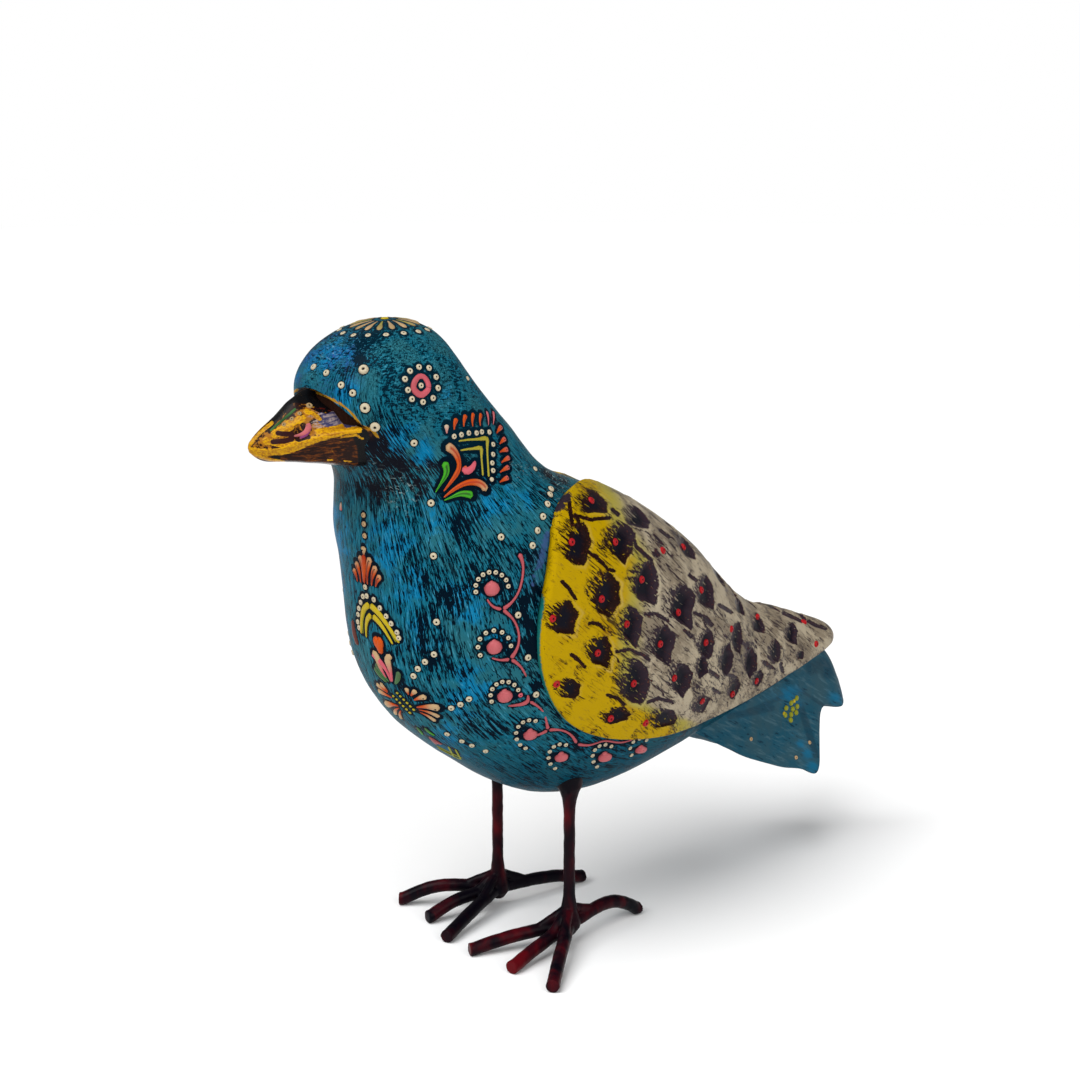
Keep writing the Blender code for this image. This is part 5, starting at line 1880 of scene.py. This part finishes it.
@dataclass(frozen=True)
class RaisedPaint:
    """Glossy cone paint in the piece's own colours."""

    dirt: Colour = shade(90, 66, 50)

    def build(self) -> Material:
        """The piece's own colours, a little soiled.

        Returns:
            The material, which reads each piece's own colours.
        """
        r = Recipe("raised_paint")
        place = r.place()
        soft = r.noise(place, 500.0, 3.0, 0.6)
        grain = r.noise(place, 1500.0, 3.0, 0.7)
        colour = r.mix(r.rise(r.sum(soft, (grain, 0.3)), 0.72, 0.98, 0.0, 0.55), r.tone("paint"), self.dirt)
        return r.finish(colour, 0.38, r.sum((soft, 0.6), (grain, 0.4)), 0.0001,
                        specular_ior_level=0.10, coat_weight=0.02, coat_roughness=0.15)


@dataclass(frozen=True)
class IronEnamel:
    """Black enamel with a clear dark red showing through on the iron legs."""

    black: Colour = shade(8, 5, 12)
    red: Colour = shade(84, 8, 16)
    wine: Colour = shade(34, 7, 15)

    def build(self) -> Material:
        """Black with red where the mask says.

        Returns:
            The material, which reads the legs' mask.
        """
        r = Recipe("iron_enamel")
        place = r.place()
        runs = r.streaks(place, (120.0, 120.0, 45.0), 3.0, 0.55, 0.5)
        patch = r.noise(place, 45.0, 3.0, 0.6, 0.3)
        grain = r.noise(place, 1200.0, 3.0, 0.7)
        amount = r.sum((runs, 1.9), (patch, 1.4), (r.value("red"), 0.36), -1.0)
        colour = r.mix(r.rise(amount, 0.62, 1.05), self.black, self.wine)
        colour = r.mix(r.rise(amount, 0.85, 1.5), colour, self.red)
        height = r.sum((runs, 0.7), (grain, 0.15))
        return r.finish(colour, 0.34, height, 0.00022, specular_ior_level=0.05, coat_weight=0.01,
                        coat_roughness=0.15)


@dataclass
class IronLeg:
    """One welded leg: shank, collar, webs and four toes of iron rod, grown together by the weld."""

    name: str
    side: int  # 1 on the bird's left, -1 on its right
    toes: tuple[tuple[float, float, float], ...]  # angle from ahead, length and arch of each
    form: BirdForm
    red_up_to: float  # height where the red on the shank ends
    red_toes: float  # how red the toes are
    red_back: float  # how red the back toe's end is
    spacing: float = 40.0
    shank_radius: float = 2.0
    collar_radius: float = 4.4
    belly: float = 57.6
    collar_height: float = 11.0
    reach_in: float = 12.0
    hub_height: float = 7.4
    hub_radius: float = 4.0
    toe_radius: float = 2.35
    toe_flat: float = 1.5
    voxel: float = 0.34 * MM
    lump: float = 0.13 * MM

    def rod(self, bm: bmesh.types.BMesh, path: Array, radii: Array, sides: int = 16) -> None:
        """Add a round rod along a path.

        Args:
            bm: takes the rod.
            path: its middle line.
            radii: its radius at each point.
            sides: how many sides it has.
        """
        ahead = unit(np.gradient(path, axis=0))
        guide = np.array([0.0, 0.0, 1.0]) if abs(ahead[0][2]) < 0.9 else np.array([0.0, 1.0, 0.0])
        beside = unit(np.cross(ahead, guide))
        above = np.cross(beside, ahead)
        rings = []
        for index, point in enumerate(path):
            made = bmesh.ops.create_circle(bm, segments=sides, radius=float(radii[index]))
            turn = Matrix((beside[index], above[index], ahead[index])).transposed().to_4x4()
            bmesh.ops.transform(bm, matrix=Matrix.Translation(point) @ turn, verts=made["verts"])
            rings.append(made["verts"])
        edges = [[edge for edge in {edge for vert in ring for edge in vert.link_edges}] for ring in rings]
        for lower, upper in zip(edges, edges[1:]):
            bmesh.ops.bridge_loops(bm, edges=lower + upper)
        bmesh.ops.edgenet_fill(bm, edges=edges[0])
        bmesh.ops.edgenet_fill(bm, edges=edges[-1])

    def toe_path(self, angle: float, length: float, arch: float) -> Array:
        """Middle line of one toe, which slopes down with an arch and ends flat on the ground.

        Args:
            angle: how far it points away from straight ahead, in degrees.
            length: from the shank to its end.
            arch: how high it bows up.

        Returns:
            Points from the hub outwards.
        """
        radians = math.radians(angle)
        ahead = np.array([math.sin(radians), -math.cos(radians), 0.0])
        shares = np.linspace(0.0, 1.0, 12)
        bow = np.sin(np.pi * shares ** 1.35)
        heights = self.hub_height + (self.toe_radius - self.hub_height) * shares + arch * bow
        heights = np.append(heights, (self.toe_radius, self.toe_radius))
        reaches = np.append(shares * (length - self.toe_flat), (length - 0.5 * self.toe_flat, length))
        drawn = np.outer(reaches, ahead) + np.outer(heights, (0.0, 0.0, 1.0))
        return self.form.placed(drawn + (self.side * 0.5 * self.spacing, 0.0, 0.0))

    def build(self) -> Object:
        """Weld the leg together.

        Returns:
            The leg, dressed with its masks.
        """
        bm = bmesh.new()
        across = self.side * 0.5 * self.spacing
        hub, low, shank, collar, top = (
            self.hub_radius, self.hub_height, self.shank_radius, self.collar_radius, self.belly,
        )
        start = top - self.collar_height
        profile = (
            (hub * 0.5, low - hub), (hub, low - 0.3 * hub), (hub * 0.96, low + 0.4 * hub),
            (hub * 0.72, low + 1.2 * hub), (shank * 1.08, low + 2.6 * hub), (shank, low + 3.6 * hub),
            (shank, start), (shank * 1.06, start + 3), (shank * 1.28, start + 6.2),
            (shank * 1.7, start + 9), (collar, top), (collar * 1.1, top + 4), (shank, top + self.reach_in),
        )
        path = self.form.placed([(across, 0.0, height) for _, height in profile])
        self.rod(bm, path, np.array([radius for radius, _ in profile]) * MM, 20)
        web = self.form.placed((across, 0.0, low + 6.0))
        for angle, length, arch in self.toes:
            line = self.toe_path(angle, length, arch)
            self.rod(bm, line, np.full(len(line), self.toe_radius * MM))
            brace = np.array([web * (1 - t) + line[4] * t for t in np.linspace(0.0, 1.0, 5)])
            self.rod(bm, brace, np.linspace(1.6, 1.7, 5) * MM, 12)
        bmesh.ops.recalc_face_normals(bm, faces=bm.faces[:])
        piece = add_object(self.name, mesh_of(self.name, bm))
        self.weld(piece)
        self.finish(piece)
        return piece

    def weld(self, piece: Object) -> None:
        """Grow the rods into one skin, as the weld and the enamel do.

        Args:
            piece: the rods.
        """
        remesh = piece.modifiers.new("weld", "REMESH")
        remesh.mode = "VOXEL"
        remesh.voxel_size = self.voxel
        smooth = piece.modifiers.new("ease", "SMOOTH")
        smooth.factor = 0.5
        smooth.iterations = 5
        evaluated = piece.evaluated_get(bpy.context.evaluated_depsgraph_get())
        grown = bpy.data.meshes.new_from_object(evaluated)
        piece.modifiers.clear()
        piece.data = grown

    def finish(self, piece: Object) -> None:
        """Uneven enamel, flat on the ground, and where the red shows.

        Args:
            piece: the welded leg.
        """
        mesh = piece.data
        points = numbers(mesh.vertices, "co")
        lumps = ripple(points, 4.0 * MM, 13.0) + 0.5 * ripple(points, 1.8 * MM, 17.0)
        points = points + numbers(mesh.vertices, "normal") * (self.lump * lumps)[:, None]
        points[:, 2] = np.maximum(points[:, 2], 0.0)
        mesh.vertices.foreach_set("co", points.ravel())
        mesh.update()
        _, behind, height = ((points - self.form.origin) / MM).T
        fading = smoothstep(self.red_up_to - 4, self.red_up_to + 4, height)
        shank = smoothstep(18.0, 30.0, height) * (1 - fading)
        toes = smoothstep(6.0, 16.0, -behind) * (1.0 - smoothstep(8.0, 14.0, height)) * self.red_toes
        back_end = smoothstep(30.0, 35.0, behind) * self.red_back
        put_values(mesh, "red", np.maximum(np.maximum(shank, back_end), toes))
        mesh.polygons.foreach_set("use_smooth", [True] * len(mesh.polygons))


class Tints:
    """Masks on one piece, drawn at the photograph's pixels, each under its own name."""

    BLOTS: dict[str, tuple] = {}
    LINES: dict[str, tuple] = {}

    def paint(self, piece: Object, form: BirdForm, camera: PhotoCamera) -> PhotoMask:
        """Put the masks on the piece.

        Args:
            piece: the piece, in its finished shape.
            form: says where the bird's middle is.
            camera: finds the pixels.

        Returns:
            Pixels of the piece's points, for further masks.
        """
        mask = PhotoMask.of_piece(piece, form, camera)
        for key, blots in self.BLOTS.items():
            put_values(piece.data, key, mask.blots(blots))
        for key, lines in self.LINES.items():
            put_values(piece.data, key, mask.lines(lines))
        return mask


@dataclass
class BodyTints(Tints):
    """Where the body's paint is darker or bluer, and where shade, highlights and a reflection are painted
    onto it.
    """

    # DARK: its blots under the cheeks and chin and in the hollows before the wings are painted shade, the
    # rest darker paint. GROOVE is painted shade in those hollows.
    DARK = (
        ((345, 450), 26, 1.2), ((376, 448), 20, 1.5), ((397, 466), 22, 1.5), ((416, 480), 20, 1.3),
        ((386, 482), 26, 1.2), ((430, 470), 16, 1), ((360, 486), 22, 0.5), ((455, 522), 13, 0.4),
        ((446, 604), 18, 0.35), ((432, 640), 20, 0.35), ((536, 590), 10, 1), ((528, 620), 12, 1),
        ((536, 655), 12, 1.1), ((548, 700), 12, 0.8), ((505, 585), 14, 0.5), ((540, 500), 12, 0.5),
        ((552, 525), 10, 0.6), ((470, 720), 18, 0.35), ((364, 345), 8, 0.9), ((361, 357), 7, 0.8),
        ((374, 338), 8, 0.4), ((556, 520), 10, 0.8),
    )
    GROOVE = (
        ((532, 560), 14, 1.1), ((530, 600), 14, 1.1), ((532, 640), 14, 1.1), ((540, 680), 14, 1),
        ((560, 715), 14, 0.8), ((512, 600), 14, 0.7), ((510, 655), 14, 0.7),
    )
    NAPE = (((560, 481), 12, 1.1), ((549, 474), 9, 0.9))
    MOTIF = (((463, 460), 15, 1.3), ((474, 450), 10, 1.2), ((454, 478), 9, 1.0), ((474, 476), 8, 0.9))
    # AZURE: the first two blots, on the brow, are a painted highlight; the rest are bluer paint.
    AZURE = (
        ((336, 350), 24, 0.9), ((322, 365), 12, 0.7), ((346, 396), 20, 0.9), ((392, 440), 18, 1),
        ((420, 452), 16, 1), ((412, 425), 18, 0.5), ((440, 520), 30, 0.6), ((390, 545), 36, 0.8),
        ((410, 590), 34, 0.7), ((490, 500), 26, 0.8), ((470, 600), 30, 0.9), ((420, 640), 34, 0.6),
        ((470, 690), 36, 0.7), ((500, 640), 20, 0.6), ((455, 740), 34, 0.6), ((440, 395), 20, 0.4),
        ((345, 560), 24, 0.4), ((520, 500), 20, 0.6), ((520, 745), 30, 0.4),
    )
    # VIOLET: the blots in the hollow before the wing are a painted reflection; those on the brow are violet
    # paint.
    VIOLET = (
        ((340, 360), 18, 0.7), ((355, 345), 12, 0.9), ((332, 385), 14, 0.5), ((545, 540), 9, 0.4),
        ((540, 560), 12, 0.4), ((536, 585), 12, 0.4), ((350, 380), 12, 0.4),
    )
    # Painted highlights: pale streaks on the throat, the crown and by the nape.
    PAINTED_HIGHLIGHTS = (
        ((402, 492), 16, 1), ((372, 470), 10, 0.6), ((420, 470), 10, 0.4), ((330, 345), 16, 0.5),
        ((520, 470), 14, 0.5), ((560, 482), 14, 1.3), ((549, 474), 10, 1.1),
    )
    GOLD = (
        (((292, 394), (296, 391), (301, 389.5)), 5),
        (((301, 389.5), (316, 392), (331, 399), (341.5, 404.6), (350.7, 412), (358.4, 422)), 2.2),
        (((354.5, 430.3), (363, 427), (372.2, 430.3), (377.8, 437)), 2.8),
    )
    BAND = ((((547.5, 534), (544, 548), (540, 566)), 7.0), (((534.6, 570), (533, 580), (532.4, 592)), 2.2))
    LINES = {"gold": GOLD, "band": BAND}
    # The belly's painted shade grows towards the floor, between these two heights.
    belly_from: float = 92.0 * MM  # height where the belly starts to darken downwards
    belly_to: float = 62.0 * MM

    def dress(self, piece: Object, canvas: Canvas, ornament: Ornament) -> None:
        """Put all the masks on the body.

        Args:
            piece: the carved body.
            canvas: knows the form and the camera.
            ornament: says where the dark ground lies.
        """
        mesh = piece.data
        mask = self.paint(piece, canvas.form, canvas.camera)
        points = numbers(mesh.vertices, "co")
        uneven = 1.0 + 0.9 * ripple(points, 5 * MM, 31.0) + 0.5 * ripple(points, 2 * MM, 37.0)
        # Brown ground in the painted shade under the cheeks and chin, and at the nape.
        put_values(mesh, "brown", mask.blots(self.DARK[:7] + self.NAPE))
        dark = self.DARK + self.MOTIF + self.GROOVE + self.NAPE
        masks = {"dark": dark, "azure": self.AZURE, "violet": self.VIOLET, "painted_highlight": self.PAINTED_HIGHLIGHTS}
        for key, blots in masks.items():
            put_values(mesh, key, np.clip(mask.blots(blots) * uneven, 0.0, 1.4))
        places, radii = ornament.ground()
        tree = KDTree(len(places))
        for index, place in enumerate(places):
            tree.insert(place, index)
        tree.balance()
        halo = [min(away - radii[index] for _, index, away in tree.find_n(point, 3)) for point in points]
        put_values(mesh, "halo", np.clip(np.array(halo) / MM, -1.0, 9.0))
        shares, turns = get_values(mesh, "share"), get_values(mesh, "turn")
        put_values(mesh, "head", 1.0 - smoothstep(0.11, 0.19, shares + 0.05 * np.sin(9.0 * turns)))
        # Painted shade over the rear of the body and low on the belly.
        low = 0.85 * smoothstep(self.belly_from, self.belly_to, points[:, 2])
        put_values(mesh, "rear_and_belly_shade", np.maximum(smoothstep(0.62, 0.8, shares), low))


class BeakTints(Tints):
    """Where the beak is gold, black or violet, and where highlights and shade are painted onto it."""

    GOLD = (
        (((247, 450), (262, 452.5), (281, 451.5), (292, 449.4), (304.5, 443.4), (317, 438.8), (335, 433.8),
          (347, 431), (358, 429.6)), 6.6), (((266, 441), (280, 444), (296, 444.5)), 6),
        (((288, 424), (295, 421), (302, 419)), 7), (((275, 434), (282, 430), (290, 427)), 8),
        (((306, 411.5), (314, 414), (320, 419)), 4), (((318, 432), (330, 430), (342, 427)), 6),
        (((272, 423), (262, 431), (253, 440), (249, 447)), 3.6),
        (((252, 454.5), (268, 459), (284, 462.5)), 3.2), (((327, 460), (340, 461.4), (356, 461)), 1),
        (((341.5, 437.4), (355.3, 435), (363, 439)), 1.8),
    )
    # BLACK: the first line is the dark culmen and the last a line low on the beak; the others are dark paint
    # with painted shade under the brow's eave and behind the gape.
    BLACK = (
        (((293, 394), (286, 404), (277, 414), (267, 425)), 11),
        (((298, 396), (306, 396), (316, 400), (326, 406)), 15), (((312, 404), (320, 408)), 9),
        (((326, 400), (340, 408), (352, 418), (360, 426)), 4), (((361, 436), (366, 446), (366, 464)), 16),
        (((258, 452), (268, 454), (279, 458)), 3),
    )
    VIOLET = ((((326, 411), (334, 418), (344, 422), (352, 426)), 13.0), (((322, 420), (332, 425)), 8.0))
    # Painted highlight: pale streaks in the violet patch near the gape.
    HIGHLIGHT_LINES = (
        (((330, 408), (346, 418), (356, 427)), 12), (((314, 418), (322, 426)), 12),
        (((318, 412), (334, 422)), 8),
    )
    PLUM = (
        (((278, 433), (286, 434), (292, 434)), 5), (((273, 442), (284, 441), (292, 439)), 5),
        (((300, 436), (308, 437)), 5),
    )
    LINES = {"gold": GOLD, "black": BLACK, "violet": VIOLET, "highlight_streaks": HIGHLIGHT_LINES, "plum": PLUM}


class TailTints(Tints):
    """Painted highlights in brighter blue, and painted shade along the creases and under the wing's edge, on
    the tail.
    """

    # Painted highlights: brighter blue along the lobe's ridge and edge and by the crease.
    TAIL_HIGHLIGHTS = (
        ((790, 694), 12, 0.9), ((800, 703), 8, 0.5), ((836, 698), 10, 0.8), ((794, 735), 5, 0.5),
        ((800, 744), 6, 0.7), ((807, 755), 7, 0.9), ((813, 767), 8, 0.9), ((772, 700), 12, 0.4),
    )
    # Painted shade along the creases between the lobes and under the wing's lower edge.
    CREASE_SHADE = (
        (((802, 691), (812, 698), (824, 706)), 4), (((800, 705), (808, 730), (816, 755)), 8),
        (((745, 712), (770, 702), (800, 690)), 5), (((812, 668), (822, 664), (828, 672)), 16),
        (((730, 716), (752, 712), (772, 708)), 8),
    )
    BLOTS = {"tail_highlight": TAIL_HIGHLIGHTS}
    LINES = {"crease_shade": CREASE_SHADE}


@dataclass(frozen=True)
class Studio:
    """Pale floor and soft light."""

    sun_power: float = 3.3
    sun_width: float = 0.9
    sun_from: tuple[float, float, float] = (0.05, -0.72, 1.05)
    fill_power: float = 4.0
    fill_from: tuple[float, float, float] = (0.85, -0.05, 0.55)
    room_light: float = 0.22
    fill_size: float = 0.8
    fill_aims_at: float = 0.12  # height above the floor
    floor_radius: float = 4.0
    floor_tone: Colour = (0.94, 0.94, 0.94, 1.0)

    def lamp(self, name: str, kind: str, place: Sequence[float], power: float) -> Object:
        """A light that looks at the bird.

        Args:
            name: its name.
            kind: whether it is a sun or a square.
            place: where it stands, or comes from.
            power: how strong it is.

        Returns:
            The light.
        """
        light = add_object(name, bpy.data.lights.new(name, kind))
        light.data.energy = power
        aim = Vector((0.0, 0.0, self.fill_aims_at if kind == "AREA" else 0.0)) - Vector(place)
        light.matrix_world = Matrix.Translation(place) @ aim.to_track_quat("-Z", "Y").to_matrix().to_4x4()
        return light

    def build(self) -> None:
        """Floor, world and lights."""
        bm = bmesh.new()
        bmesh.ops.create_circle(bm, cap_ends=True, segments=64, radius=self.floor_radius)
        floor = add_object("floor", mesh_of("floor", bm))
        recipe = Recipe("pale_floor")
        look = {"Base Color": self.floor_tone, "Roughness": 1.0, "Specular IOR Level": 0.0}
        for key, value in look.items():
            recipe.feed(recipe.shader.inputs[key], value)
        floor.data.materials.append(recipe.material)
        world = bpy.data.worlds.new("studio")
        world.use_nodes = True
        nodes, links = world.node_tree.nodes, world.node_tree.links
        background = nodes["Background"]
        background.inputs["Color"].default_value = (1.0, 1.0, 1.0, 1.0)
        seen = nodes.new("ShaderNodeLightPath").outputs["Is Camera Ray"]
        strength = nodes.new("ShaderNodeMath")
        strength.operation = "MULTIPLY_ADD"
        links.new(seen, strength.inputs[0])
        strength.inputs[1].default_value = 1.0 - self.room_light
        strength.inputs[2].default_value = self.room_light
        links.new(strength.outputs[0], background.inputs["Strength"])
        bpy.context.scene.world = world
        bpy.context.scene.view_settings.view_transform = "Standard"
        self.lamp("sun", "SUN", self.sun_from, self.sun_power).data.angle = self.sun_width
        fill = self.lamp("fill", "AREA", self.fill_from, self.fill_power)
        fill.data.shape = "SQUARE"
        fill.data.size = self.fill_size


def wing_dots(wings: FoldedWings, canvas: Canvas, material: Material) -> None:
    """Red dots in and between the feather marks.

    Args:
        wings: says where the marks are.
        canvas: the wings' surface.
        material: what they are painted with.
    """
    motif = ConePaint("red_dots", canvas)
    marked = [mark.dot for mark in wings.MARKS if mark.dot]
    motif.dots(marked + list(wings.STRAY_DOTS), wings.DOT_WIDTH, Paint.RED)
    motif.finish(material)


def main() -> None:
    """Build and dress the bird."""
    logging.basicConfig(level=logging.INFO, format="%(message)s")
    form, camera = BirdForm(), PhotoCamera()
    camera.build()
    Studio().build()
    body, beak, tail, wings = CarvedBody(form), Beak(form), Tail(form), FoldedWings(form)
    for part in (body, beak, tail):
        part.build()
    wings.build(camera)
    carved = Canvas(camera, form, [body.piece, beak.piece, tail.piece])
    ornament = Ornament(carved)
    ornament.build()
    BodyTints().dress(body.piece, carved, ornament)
    BeakTints().paint(beak.piece, form, camera)
    TailTints().paint(tail.piece, form, camera)
    raised = RaisedPaint().build()
    for motif in ornament.pieces:
        motif.finish(raised)
    wing_dots(wings, Canvas(camera, form, list(wings.pieces.values())), raised)
    show(body.piece, BrushedBlue().build(), "body")
    show(beak.piece, BeakPaint().build())
    show(tail.piece, TailPaint().build())
    wing_paint = WingPaint().build()
    for piece in wings.pieces.values():
        show(piece, wing_paint)
    enamel = IronEnamel().build()
    left_toes = ((-22.0, 35.8, 0.8), (12.0, 31.5, 0.2), (42.0, 39.0, 0.6), (185.0, 35.5, 4.6))
    right_toes = ((-41.0, 36.0, 3.2), (-8.0, 29.0, 1.8), (22.0, 36.0, 0.3), (176.0, 38.5, 1.4))
    show(IronLeg("left_iron_leg", 1, left_toes, form, 48.0, 1.0, 1.0).build(), enamel,
         "left_leg")
    show(IronLeg("right_iron_leg", -1, right_toes, form, 44.0, 0.6, 0.0).build(), enamel,
         "right_leg")


if __name__ == "__main__":
    main()
